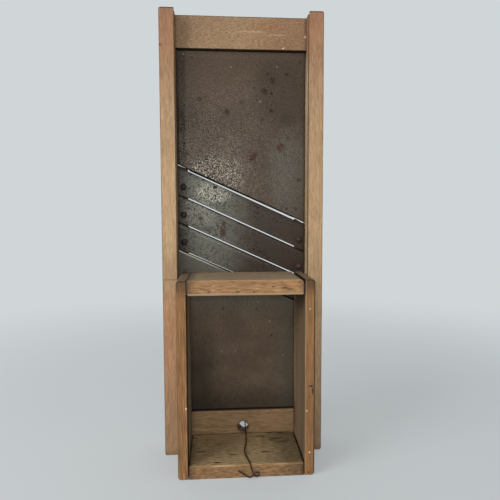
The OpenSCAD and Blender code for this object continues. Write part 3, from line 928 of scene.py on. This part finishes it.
def side_shape(sizes, node, side):
    """A side wall with the tongue that runs in its rail's groove."""
    low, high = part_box(node)
    inner, tip = (low.x, high.x) if side > 0 else (high.x, low.x)
    outer = inner + side * sizes.side_wall
    corners = sorted((inner, outer))
    shape = block(Vector((corners[0], low.y, low.z)), Vector((corners[1], high.y, high.z)))
    ends = edges_at(shape, x=outer, z=low.z) + edges_at(shape, x=outer, z=high.z)
    rounded(shape, ends, sizes.box_corner, 8)
    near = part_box("right_rail")[0].y + sizes.groove_lip + sizes.tongue_play
    far = near + sizes.groove_width - 2 * sizes.tongue_play
    foot, top = low.z + sizes.tongue_setback, high.z - sizes.tongue_setback
    cut_at(shape, Y, [near, far])
    cut_at(shape, Z, [foot, top])
    root = [
        face for face in shape.faces
        if all(is_at(vert, {"x": outer}) for vert in face.verts)
        and near < face.calc_center_median().y < far and foot < face.calc_center_median().z < top
    ]
    drawn = bmesh.ops.extrude_discrete_faces(shape, faces=root)["faces"]
    bmesh.ops.translate(shape, vec=RIGHT * (tip - outer), verts=[v for face in drawn for v in face.verts])
    return shape


def end_shape(sizes, node, inner, segments, cracks):
    """An end wall with its rim eased at the inner height, and a crack at its left and right ends."""
    low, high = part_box(node)
    shape = block(low + RIGHT * cracks[0], high - RIGHT * cracks[1])
    rounded(shape, edges_at(shape, y=low.y, z=inner), sizes.rim_chamfer, segments)
    return shape


def add_left_side(cutter):
    """The left wall, with a wavy figure on its rim."""
    wood, node = cutter.wood, "box_left_side"
    low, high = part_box(node)
    stains = [
        (towards(RIGHT), shaded(wood.stain, 1.2), 0.92),
        (by_edge(UP, high.z, 26, 3, 20), shaded(wood.grime, 1.7), 0.7),
        (towards(UP), shaded(wood.stain, 2), 0.9),
    ]
    # Painted shade: a dark line along the rim's inner edge, towards the front
    inner_edge = where_all(by_edge(RIGHT, high.x, 1.2, 0.6), by_edge(-BACK, -low.y, 20, 8))
    marks = [
        (where_all(by_edge(UP, high.z, 2.4, 1.4, 1), towards(-BACK)), wood.grime, 0.8),
        (inner_edge, shaded(wood.grime, 0.25), 0.97),
        *front_spots(low.y / MM, [(-70.1, 85.4, 1.2, 1.5, wood.speck, 0.9)]),
    ]
    finish_board(
        side_shape(cutter.shape, node, -1), node, Z, (-2.3, 6.1, 1.1), wood.box, stains, marks,
        edge=(wood.grime, 0.7), grain=(340, 12), bands=0.17, dashes=0.32, tilt=math.radians(3),
    )


def add_right_side(cutter):
    """The right wall, redder and smoother."""
    wood, node = cutter.wood, "box_right_side"
    low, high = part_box(node)
    outer, floor = low.x + cutter.shape.side_wall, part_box("box_lower_end")[1].z
    inside, front = towards(-RIGHT), towards(-BACK)
    dark, black = shaded(wood.grime, 0.6), shaded(wood.grime, 0.4)
    back_line = where_all(inside, by_edge(BACK, high.y, 12, 6, 6), beyond(UP, 70, 90, 30))
    stains = [
        (inside, shaded(wood.stain, 1.25), 0.7),
        (where_all(inside, beyond(BACK, 4, 20, 8)), wood.worn, 0.25),
        (where_all(inside, beyond(-BACK, 10, 30, 20)), shaded(wood.stain, 0.6), 0.45),
        (where_all(inside, beyond(UP, 185, 210, 20)), wood.grime, 0.5),
        (back_line, wood.worn, 0.6),
        (spot(at(low.x / MM, 24, 44), at(8, 10, 24), 1.0), wood.grime, 0.6),
        (by_edge(UP, high.z, 20, 2, 20), shaded(wood.grime, 1.7), 0.6),
        (towards(UP), shaded(wood.stain, 2), 0.9),
    ]
    marks = [
        (where_all(by_edge(UP, high.z, 2.4, 1.4, 1), front), wood.grime, 0.8),
        (where_all(by_edge(-RIGHT, -low.x, 1.8, 1), front), wood.worn, 0.35),
        (where_all(by_edge(-RIGHT, -low.x, 1, 0.5), by_edge(UP, high.z, 17, 16)), black, 0.95),
        # Painted shadow along the outer edge of the rim, where the wall meets the rail
        (where_all(by_edge(RIGHT, outer, 1.8, 1), by_edge(-BACK, -low.y, 6, 2)), black, 0.9),
        (where_all(inside, by_edge(-UP, -floor, 3.2, 1.2, 1)), black, 0.9),
    ]
    marks += front_spots(low.y / MM, (
        (70.7, 78.4, 1.1, 1.4, wood.speck, 0.7), (74.2, 27.9, 1.2, 1.2, wood.speck, 0.95),
        (74.1, 199.5, 1.1, 1.1, wood.speck, 0.6), (73.4, 3.6, 1.4, 1.4, wood.grime, 0.9),
        (75.5, 108, 3.8, 1.3, dark, 0.95), (77.6, 102, 1.2, 5, dark, 0.85),
        (74.2, 95.5, 1.2, 1.4, wood.grime, 0.6),
    ))
    finish_board(
        side_shape(cutter.shape, node, 1), node, Z, (2.3, 6.1, 1.1), wood.box, stains, marks,
        edge=(wood.grime, 0.7), grain=(300, 12), bands=0.08, dashes=0.18,
    )


def add_upper_end(cutter):
    """The upper end, with a pale chamfer under its rim."""
    sizes, wood, node = cutter.shape, cutter.wood, "box_upper_end"
    low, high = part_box(node)
    rim = low.y / MM
    stains = [
        (towards(-BACK), shaded(wood.rail, 1.2), 0.2),
        (towards(UP), shaded(wood.stain, 1.6), 0.92),
        (towards(-UP), wood.olive, 0.8),
        (beyond(-RIGHT, 56, 67, 10), shaded(wood.grime, 1.6), 0.6),
        (beyond(RIGHT, 58, 67, 8), shaded(wood.grime, 1.6), 0.4),
    ]
    pale = ((-38, 223.2, 3), (-8, 222.8, 3.4), (12, 224, 3), (-52, 221.5, 4), (36, 221.8, 8))
    dark = (
        (-42.5, 220.9, 2.2), (-9.5, 220.5, 2.6), (8.8, 220.2, 1.8),
        (50, 223, 4.5), (31, 226, 3), (44, 224.5, 5),
    )
    marks = [
        # Pale worn chamfer, made lighter as painted light because it faces down
        (towards((-BACK - UP).normalized(), 0.85, 0.97), shaded(wood.worn, 1.1), 0.85),
        (beyond(-RIGHT, 65.8, 67.2, 1), wood.grime, 0.9),
        (beyond(RIGHT, 65.9, 66.6, 0.6), shaded(wood.grime, 0.4), 1.0),
        *front_spots(rim, [(x, z, wide, 1.2, wood.worn, 0.4) for x, z, wide in pale], ragged=1.2),
        *front_spots(rim, [(x, z, wide, 1, wood.grime, 0.7) for x, z, wide in dark]),
    ]
    shape = end_shape(sizes, node, low.z, 1, (sizes.crack / 2, sizes.crack))
    rounded(shape, edges_at(shape, x=high.x - sizes.crack, z=high.z), sizes.worn_corner, 5)
    finish_board(
        shape, node, X, (0.7, -5.3, 2.9), shaded(wood.box, 1.2), stains, marks,
        edge=(wood.worn, 0.5), grain=(230, 34), bands=0.14, dashes=0.22,
    )


def add_lower_end(cutter):
    """The lower end, worn round by the wire and by use."""
    sizes, wood, node = cutter.shape, cutter.wood, "box_lower_end"
    low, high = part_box(node)
    face, top = low.y / MM, high.z / MM
    front, upward = towards(-BACK), towards(UP)
    stains = [
        (front, shaded(wood.rail, 0.75), 0.3),
        (where_all(front, beyond(RIGHT, 30, 66, 30)), shaded(wood.grime, 2), 0.5),
        # Olive stain on the top face, made lighter as painted light against the shade inside the box
        (upward, shaded(wood.olive, 1.38), 0.95),
        (beyond(-RIGHT, 58, 68, 10), wood.grime, 0.5),
        (beyond(RIGHT, 60, 68, 10), wood.grime, 0.5),
        # Painted light at the back of the top face, against the shade there
        (beyond(BACK, 0, 25, 20), shaded(wood.olive, 1.7), 0.3),
        (where_all(upward, beyond(RIGHT, 15, 55, 30)), shaded(wood.olive, 0.55), 0.9),
    ]
    marks = [
        (towards((UP - BACK).normalized(), 0.8, 0.95), shaded(wood.box, 1.1), 0.4),
        (spot(at(-28, face + 0.7, top - 0.7), at(17, 1.4, 1.4), 1.0), wood.worn, 0.6),
        (spot(at(40, face + 0.7, top - 0.7), at(12, 1.4, 1.4), 1.0), wood.worn, 0.35),
        (beyond(-RIGHT, 66, 67.2, 1), shaded(wood.grime, 0.8), 0.7),
        (beyond(RIGHT, 66, 67.2, 1), shaded(wood.grime, 0.4), 0.95),
    ]
    for x, y, wide, deep in (
        (-35, -40.9, 6, 1.6), (25.6, 18.8, 2, 1.6), (-48, 16.1, 3, 1.4), (-36, 15, 2, 1.2), (-33, 2, 6, 1.2),
        (24, -20, 7, 1.8), (50, 4, 9, 1.6), (36, 10, 8, 1.5), (-55, -14, 9, 1.5), (-15, -24, 8, 1.4),
        (49, 29.5, 5, 2.2), (36, 30.5, 4, 1.4), (27, 19, 2.2, 1.5), (42, 15, 11, 2.2), (22, 22, 9, 1.8),
    ):
        marks.append((spot(at(x, y, top), at(wide, deep, 4), 1.0), shaded(wood.grime, 0.8), 0.85))
    finish_board(
        end_shape(sizes, node, high.z, 4, (sizes.crack, sizes.crack)), node, X, (0.7, 5.3, 2.9),
        shaded(wood.box, 0.9), stains, marks, chip=2.0,
        edge=(shaded(wood.box, 1.1), 0.4), grain=(240, 44), dashes=0.32,
    )


class CUTTER_OT_add_box(bpy.types.Operator):
    """Adds the four walls of the sliding box"""
    bl_idname = "cutter.add_box"
    bl_label = "Add Box"

    def execute(self, context):
        for add_wall in (add_left_side, add_right_side, add_upper_end, add_lower_end):
            add_wall(context.scene.cutter)
        return {"FINISHED"}


# Steel bed

# How far the edges above the throats have crept down, as shares of the creep
PLATE_CREEP = 1.6
BLADE_CREEP = {"upper_blade": 1.0, "middle_blade": 1.5, "lower_blade": 0.0}


def add_plate(sizes, node, seed, drop, lift, finish):
    """A plate that waves between the ledgers; lift tells how its slanted edge rises across it."""
    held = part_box("right_upper_ledger")[0].x
    across, edge = throat_line(sizes, drop)
    shape = copy_of(node)
    for axis in (X, Z):
        slice_along(shape, axis, sizes.slice)
    for vert in shape.verts:
        if abs(vert.co.dot(across) - edge) < NEAR:
            vert.co += across * lift(vert.co.x / held)
        free = max(0.0, 1 - (vert.co.x / held) ** 4)
        wave = noise.noise(Vector((vert.co.x, 0, vert.co.z)) * PLATE_WAVES + Vector(seed))
        vert.co.y += sizes.dent * free * wave
    finish_piece(shape, node, finish)


def add_upper_plate(cutter):
    """The upper plate, bent up at its left corner, with a glare of bright specks, partly bare steel and
    partly a painted highlight, and patches of rust.
    """
    sizes, steel = cutter.shape, cutter.steel
    node, seed, drop = "upper_bed_plate", (0.2, 0.6, 0.1), -sizes.throat_width / 2
    across, edge = throat_line(sizes, drop)
    face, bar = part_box(node)[0].y / MM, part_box("head_crossbar")[0].z
    front, black = towards(-BACK), shaded(steel.pit, 0.5)
    # Where the glare lies; its bright specks are partly a painted highlight
    glare = spot(at(-36, face, 358), at(44, 20, 34), 0.5)

    def lift(share):
        """The throat widens to the right, and dirt hangs from the edge between the ledgers."""
        hanging = PLATE_CREEP * sizes.creep if abs(share) < 1 else 0
        return sizes.throat_spread * (1 if share < -1 else (1 + share) / 2) - hanging

    stains = [
        # Painted light at the top of the plate, against the head crossbar's shade
        (beyond(UP, 430, 470, 20), shaded(steel.plate, 1.5), 0.5),
        (spot(at(47, face, 470), at(40, 20, 50), 0.5), shaded(steel.plate, 0.75), 0.6),
        (spot(at(64, face, 360), at(34, 20, 70), 0.5), shaded(steel.blade, 0.7), 0.4),
        (spot(at(60, face, 431), at(13, 20, 11)), steel.pit, 0.3),
        # Painted shade along the right rail
        (beyond(RIGHT, 75.5, 81, 3), steel.margin, 0.1),
        # Painted light just below the head crossbar, against the shade there
        (by_edge(UP, bar, 12, 2, 4), shaded(steel.plate, 2), 0.4),
    ]
    marks = [
        # Bright specks in the glare: partly bare steel, partly a painted highlight
        (where_all(glare, specks, front), steel.bare, 0.45),
        (where_all(glare, dots, front), shaded(steel.pit, 0.6), 0.85),
        (where_all(dots, front), steel.pit, 0.25),
        # Painted shade of the left rail
        (beyond(-RIGHT, 69.5, 73.5, 2), steel.margin, 0.52),
        (where_all(spot(at(21, face, 335), at(14, 10, 8), 1.0), dots), shaded(steel.rust, 2), 0.6),
        # Painted shade on the plate's edge above the first throat
        (by_edge(-across, -edge, 2.8, 1.6), black, 0.95),
        # Painted shadow line under the head crossbar
        (by_edge(UP, bar, 0.8, 0.2), black, 0.95),
        # Painted shadow lines along the rails
        (beyond(-RIGHT, 79.2, 80.8), shaded(steel.brown, 0.4), 0.4),
        (beyond(RIGHT, 79.5, 81.5), shaded(steel.brown, 0.6), 0.5),
        (spot(at(-73.8, face, 400.2), at(1.8, 10, 1.8)), black, 0.95),
        (spot(at(74.6, face, 354.3), at(2.6, 10, 2.6), 0.3), shaded(steel.pit, 0.3), 1.0),
    ]
    stained = (
        (-53.8, 456.3, 4.2), (-18.5, 440.5, 4.4), (16.2, 471.5, 2), (29.4, 467.3, 5), (38.6, 464.4, 2.8),
        (40.4, 481, 5.4), (58.5, 489, 3), (-0.3, 453.4, 3.4), (38.6, 442.7, 3.6), (27, 430.4, 3),
        (34, 489, 2.4), (70, 316.4, 3), (58.7, 316.4, 2.5), (60, 408, 3),
    )
    tone = shaded(steel.rust, 0.45)
    marks += front_spots(face, [(x, z, reach, reach, tone, 0.52) for x, z, reach in stained], 10, 1.0)
    for x, z, reach in ((50.9, 396, 7), (13.6, 382.6, 5.6), (18, 387, 3.8), (-46.4, 382.2, 3)):
        patch = spot(at(x, face, z), at(reach, 10, reach), 0.9)
        marks += [(patch, steel.rust, 0.72), (where_all(patch, dots), steel.pit, 0.45)]
    bright = ((-73.6, 512.1), (-13.2, 496.9), (45.9, 498), (24.1, 454.4))
    marks += front_spots(face, [(x, z, 1.1, 1.5, shaded(steel.bare, 0.6), 0.35) for x, z in bright], 10)
    add_plate(sizes, node, seed, drop, lift, steel_finish(f"{node}_steel", steel.plate, seed, stains, marks))


def add_lower_plate(cutter):
    """The lower plate, painted darker to the left and at its foot as shade."""
    sizes, steel = cutter.shape, cutter.steel
    node, seed = "lower_bed_plate", (0.9, 0.4, 0.5)
    drop = 3 * sizes.blade_step - sizes.throat_width / 2 + sizes.tail_gap
    across, edge = throat_line(sizes, drop)
    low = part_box(node)[0]
    face = low.y / MM

    def lift(share):
        """The gap over the plate narrows to the right, fast at first."""
        return sizes.tail_pinch * math.sqrt(max(0, 1 + share) / 2)

    stains = [
        (beyond(UP, 190, 240, 20), shaded(steel.blade, 0.75), 0.7),
        # Painted shade along the left rail and at the plate's foot
        (beyond(-RIGHT, 66, 80, 4), steel.margin, 0.6),
        (beyond(-UP, -85, -56, 10), steel.margin, 0.55),
        (beyond(RIGHT, 30, 65, 30), shaded(steel.blade, 0.5), 0.5),
        (beyond(UP, 165, 205, 30), shaded(steel.blade, 0.6), 0.45),
        # Painted shade low at the left, inside the box
        (where_all(beyond(-RIGHT, 15, 55, 30), beyond(-UP, -200, -100)), steel.margin, 0.6),
    ]
    pitted = ((-30, 204, 2.2), (-4, 204, 2), (-25.5, 185, 2.2), (18.8, 184, 1.8), (38.7, 148, 2))
    bright = ((-28.3, 127.2), (-9.6, 127.8), (21, 193), (36.4, 167.5), (54, 120.3))
    marks = [
        # Painted highlight on the plate's edge under the last blade
        (where_all(by_edge(across, edge, 3, 2.2), beyond(-RIGHT, 10, 55)), steel.bare, 0.7),
        # Painted shade on the plate's edge, in the gap
        (by_edge(across, edge, 1.5, 0.8), shaded(steel.pit, 0.4), 0.97),
        # Painted shadow line where the plate meets the foot crossbar
        (by_edge(-UP, -low.z, 2.2, 0.8), shaded(steel.pit, 0.5), 0.95),
        *front_spots(face, [(x, z, reach, reach, steel.pit, 0.6) for x, z, reach in pitted], 10),
        *front_spots(face, [(x, z, 1.1, 1.8, shaded(steel.bare, 0.6), 0.4) for x, z in bright], 10),
    ]
    finish = steel_finish(f"{node}_steel", shaded(steel.plate, 1.9), seed, stains, marks)
    add_plate(sizes, node, seed, drop, lift, finish)


class CUTTER_OT_add_bed(bpy.types.Operator):
    """Adds the two uneven bed plates"""
    bl_idname = "cutter.add_bed"
    bl_label = "Add Bed"

    def execute(self, context):
        add_upper_plate(context.scene.cutter)
        add_lower_plate(context.scene.cutter)
        return {"FINISHED"}


def add_blade(sizes, steel, index, node):
    """A slanted blade, grey at the left and brown at the right."""
    face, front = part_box(node)[0].y / MM, towards(-BACK)
    across, edge = throat_line(sizes, index * sizes.blade_step + sizes.throat_width / 2)
    # Where a glare and a sheen lie; their bright specks are partly bare steel and partly a painted highlight
    glare = spot(at(-38, face, 338), at(27, 20, 17), 0.6)
    sheen = spot(at(-56, face, 312), at(26, 20, 22), 0.5)
    stains = [
        (beyond(RIGHT, -38 - 10 * index, 22, 30), steel.brown, 0.92),
        (beyond(-RIGHT, 65, 78, 12), shaded(steel.brown, 0.9), 0.8),
    ]
    rusty = ((-25.1, 285.5, 5, 8), (-24, 297, 3, 5.4), (-53.9, 304, 4, 3.4), (73, 276, 7, 7), (73, 243, 9, 8))
    rusty = [(x, z, wide, tall, steel.rust, 0.75 if x < 0 else 0.35) for x, z, wide, tall in rusty]
    marks = [
        # Bright specks in the glare and the sheen: partly bare steel, partly a painted highlight
        (where_all(glare, specks, front), shaded(steel.bare, 1.3), 0.95),
        (where_all(sheen, specks, front), steel.bare, 0.5),
        (where_all(beyond(-RIGHT, -10, 30, 30), dots), steel.pit, 0.8 - 0.15 * index),
        (where_all(beyond(RIGHT, 30, 70, 30), dots), shaded(steel.rust, 1.5), 0.6),
        # Painted shade on the ground bevel, which faces up
        (by_edge(across, edge, 4.5, 3.6), steel.brown, 0.2),
        # Painted shade on the blade's edge below the throat
        (by_edge(across, edge, 2, 1.2), shaded(steel.pit, 0.5), 0.9 if index else 0.5),
        # Painted shadow lines along the rails
        (beyond(-RIGHT, 79.2, 80.8), shaded(steel.brown, 0.5), 0.5),
        (beyond(RIGHT, 79.2, 80.8), shaded(steel.brown, 0.5), 0.6),
        *front_spots(face, rusty, 10, 1.0),
        *front_spots(face, [(-35.4, 344.6, 2.8, 2.3, shaded(steel.pit, 0.7), 0.95)], 10, 0.2),
    ]
    shape = copy_of(node)
    lower = min(vert.co.dot(across) for vert in shape.verts)
    for vert in shape.verts:
        if vert.co.dot(across) < lower + sizes.throat_width / 4:
            vert.co.z -= sizes.creep * BLADE_CREEP[node] / across.z
    finish = steel_finish(f"{node}_steel", steel.blade, (0.3 * index, 0.7, 0.2), stains, marks, 0.8)
    finish_piece(shape, node, finish, smooth=False)


class CUTTER_OT_add_blades(bpy.types.Operator):
    """Adds the three slanted blades"""
    bl_idname = "cutter.add_blades"
    bl_label = "Add Blades"

    def execute(self, context):
        for index, node in enumerate(BLADE_CREEP):
            add_blade(context.scene.cutter.shape, context.scene.cutter.steel, index, node)
        return {"FINISHED"}


# Screws and nails

# The axis along which each group of nails is driven
NAILS = {
    "upper_plate_nails": "y", "lower_plate_nails": "y",
    "head_crossbar_nails": "x", "foot_crossbar_nails": "x",
    "left_ledger_nails": "x", "right_ledger_nails": "x",
    "box_upper_nails": "x", "box_lower_nails": "x",
}
NAIL_ROUNDING = 0.0004
NAIL_DENT = 0.0001


class CUTTER_OT_add_fasteners(bpy.types.Operator):
    """Adds hammered nails and finishes the blade screws"""
    bl_idname = "cutter.add_fasteners"
    bl_label = "Add Fasteners"

    def execute(self, context):
        steel = context.scene.cutter.steel
        iron = iron_finish("rusty_iron", steel.iron, (0.5, 0.2, 0.9), 0.4)
        brown = iron_finish("brown_iron", steel.brown, (0.1, 0.6, 0.3), 0.5)
        dark = iron_finish("dark_iron", shaded(steel.iron, 0.6), (0.4, 0.8, 0.2), 0.3)
        dress("left_blade_screws", dark)
        dress("right_blade_screws", brown)
        for node, axis in NAILS.items():
            shape = copy_of(node)
            low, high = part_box(node)
            rims = [edge for end in (low, high) for edge in edges_at(shape, **{axis: end[AXES[axis]]})]
            rounded(shape, rims, NAIL_ROUNDING, 2)
            for vert in shape.verts:
                vert.co -= vert.normal * NAIL_DENT * (0.5 + 0.5 * noise.noise(vert.co * NAIL_DENTS))
            finish_piece(shape, node, brown if "plate" in node else iron)
        return {"FINISHED"}


# Stage

LAMP_TARGET = Vector((0, 0, 0.28))
WINDOW_PLACE = Vector((-0.02, -2.2, 0.62))
WINDOW_SIZE = 0.35
SOFTBOX_PLACE = Vector((-1.5, -1.0, 1.2))
SOFTBOX_SIZE = 1.0
# Where the floor starts to fade into the background and where it is gone
FLOOR_FADE = 0.3, 1.3


def watched(tree):
    """Whether a ray shows the stage to the camera, in a mirror or through glass."""
    path = add_node(tree, "ShaderNodeLightPath").outputs
    shown = calc(tree, "MAXIMUM", path["Is Camera Ray"], path["Is Glossy Ray"])
    return calc(tree, "MAXIMUM", shown, path["Is Transmission Ray"])


def add_floor(scene):
    """A wide pale floor that fades into the background."""
    stage = scene.cutter.stage
    shape = bmesh.new()
    bmesh.ops.create_circle(shape, cap_ends=True, segments=96, radius=stage.floor)
    mesh = bpy.data.meshes.new("floor")
    shape.to_mesh(mesh)
    shape.free()
    floor = bpy.data.objects.new("floor", mesh)
    scene.collection.objects.link(floor)
    material, tree, shader, place = new_material("pale_floor", Roughness=0.9, Base_Color=(*stage.pale, 1))
    glow = add_node(tree, "ShaderNodeEmission", {"Color": (*stage.pale, 1), "Strength": 1.0}).outputs[0]
    away = ranged(tree, vector(tree, "LENGTH", place), *FLOOR_FADE, 0.35, 1.0)
    share = calc(tree, "MULTIPLY", away, watched(tree))
    faded = add_node(tree, "ShaderNodeMixShader", {0: share, 1: shader.outputs[0], 2: glow})
    tree.links.new(faded.outputs[0], tree.nodes["Material Output"].inputs["Surface"])
    mesh.materials.append(material)


def add_sky(scene):
    """Even light, and a pale background where it is seen."""
    stage = scene.cutter.stage
    world = bpy.data.worlds.new("studio")
    world.use_nodes = True
    tree = world.node_tree
    light = tree.nodes["Background"]
    light.inputs["Color"].default_value = (1, 1, 1, 1)
    light.inputs["Strength"].default_value = stage.sky
    shown = add_node(tree, "ShaderNodeBackground", {"Color": (*stage.pale, 1), "Strength": 1.0})
    sides = {0: watched(tree), 1: light.outputs[0], 2: shown.outputs[0]}
    both = add_node(tree, "ShaderNodeMixShader", sides)
    tree.links.new(both.outputs[0], tree.nodes["World Output"].inputs["Surface"])
    scene.world = world
    scene.view_settings.view_transform = "Standard"


def add_lamp(scene, name, place, size, power):
    """A square lamp that looks at the middle of the board."""
    lamp = bpy.data.lights.new(name, "AREA")
    lamp.size, lamp.energy = size, power
    lamp_object = bpy.data.objects.new(name, lamp)
    turn = (LAMP_TARGET - place).to_track_quat("-Z", "Y").to_matrix().to_4x4()
    lamp_object.matrix_world = Matrix.Translation(place) @ turn
    scene.collection.objects.link(lamp_object)


class CUTTER_OT_add_stage(bpy.types.Operator):
    """Adds the floor, the background and the lamps"""
    bl_idname = "cutter.add_stage"
    bl_label = "Add Stage"

    def execute(self, context):
        scene = context.scene
        add_floor(scene)
        add_sky(scene)
        add_lamp(scene, "window", WINDOW_PLACE, WINDOW_SIZE, scene.cutter.stage.window)
        add_lamp(scene, "softbox", SOFTBOX_PLACE, SOFTBOX_SIZE, scene.cutter.stage.softbox)
        return {"FINISHED"}


class CUTTER_PT_panel(bpy.types.Panel):
    """Lists the pieces and what can be changed"""
    bl_idname = "CUTTER_PT_panel"
    bl_label = "Cabbage Cutter"
    bl_space_type = "VIEW_3D"
    bl_region_type = "UI"
    bl_category = "Cutter"

    def draw(self, context):
        for operator in OPERATORS:
            self.layout.operator(operator.bl_idname)
        settings = context.scene.cutter
        for group in (settings.shape, settings.wood, settings.steel, settings.stage):
            column = self.layout.column(align=True)
            for name in group.__annotations__:
                column.prop(group, name, text=name.replace("_", " ").capitalize())


GROUPS = (CutterShape, CutterWood, CutterSteel, CutterStage, CutterSettings)
OPERATORS = (
    CUTTER_OT_add_camera, CUTTER_OT_add_wire, CUTTER_OT_add_rails, CUTTER_OT_add_crossbars,
    CUTTER_OT_add_ledgers, CUTTER_OT_add_box, CUTTER_OT_add_bed, CUTTER_OT_add_blades,
    CUTTER_OT_add_fasteners, CUTTER_OT_add_stage,
)
CLASSES = (*GROUPS, *OPERATORS, CUTTER_PT_panel)


def register():
    for item in CLASSES:
        bpy.utils.register_class(item)
    bpy.types.Scene.cutter = PointerProperty(type=CutterSettings)


def unregister():
    del bpy.types.Scene.cutter
    for item in reversed(CLASSES):
        bpy.utils.unregister_class(item)


def main():
    register()
    for operator in OPERATORS:
        area, name = operator.bl_idname.split(".")
        getattr(getattr(bpy.ops, area), name)()


if __name__ == "__main__":
    main()
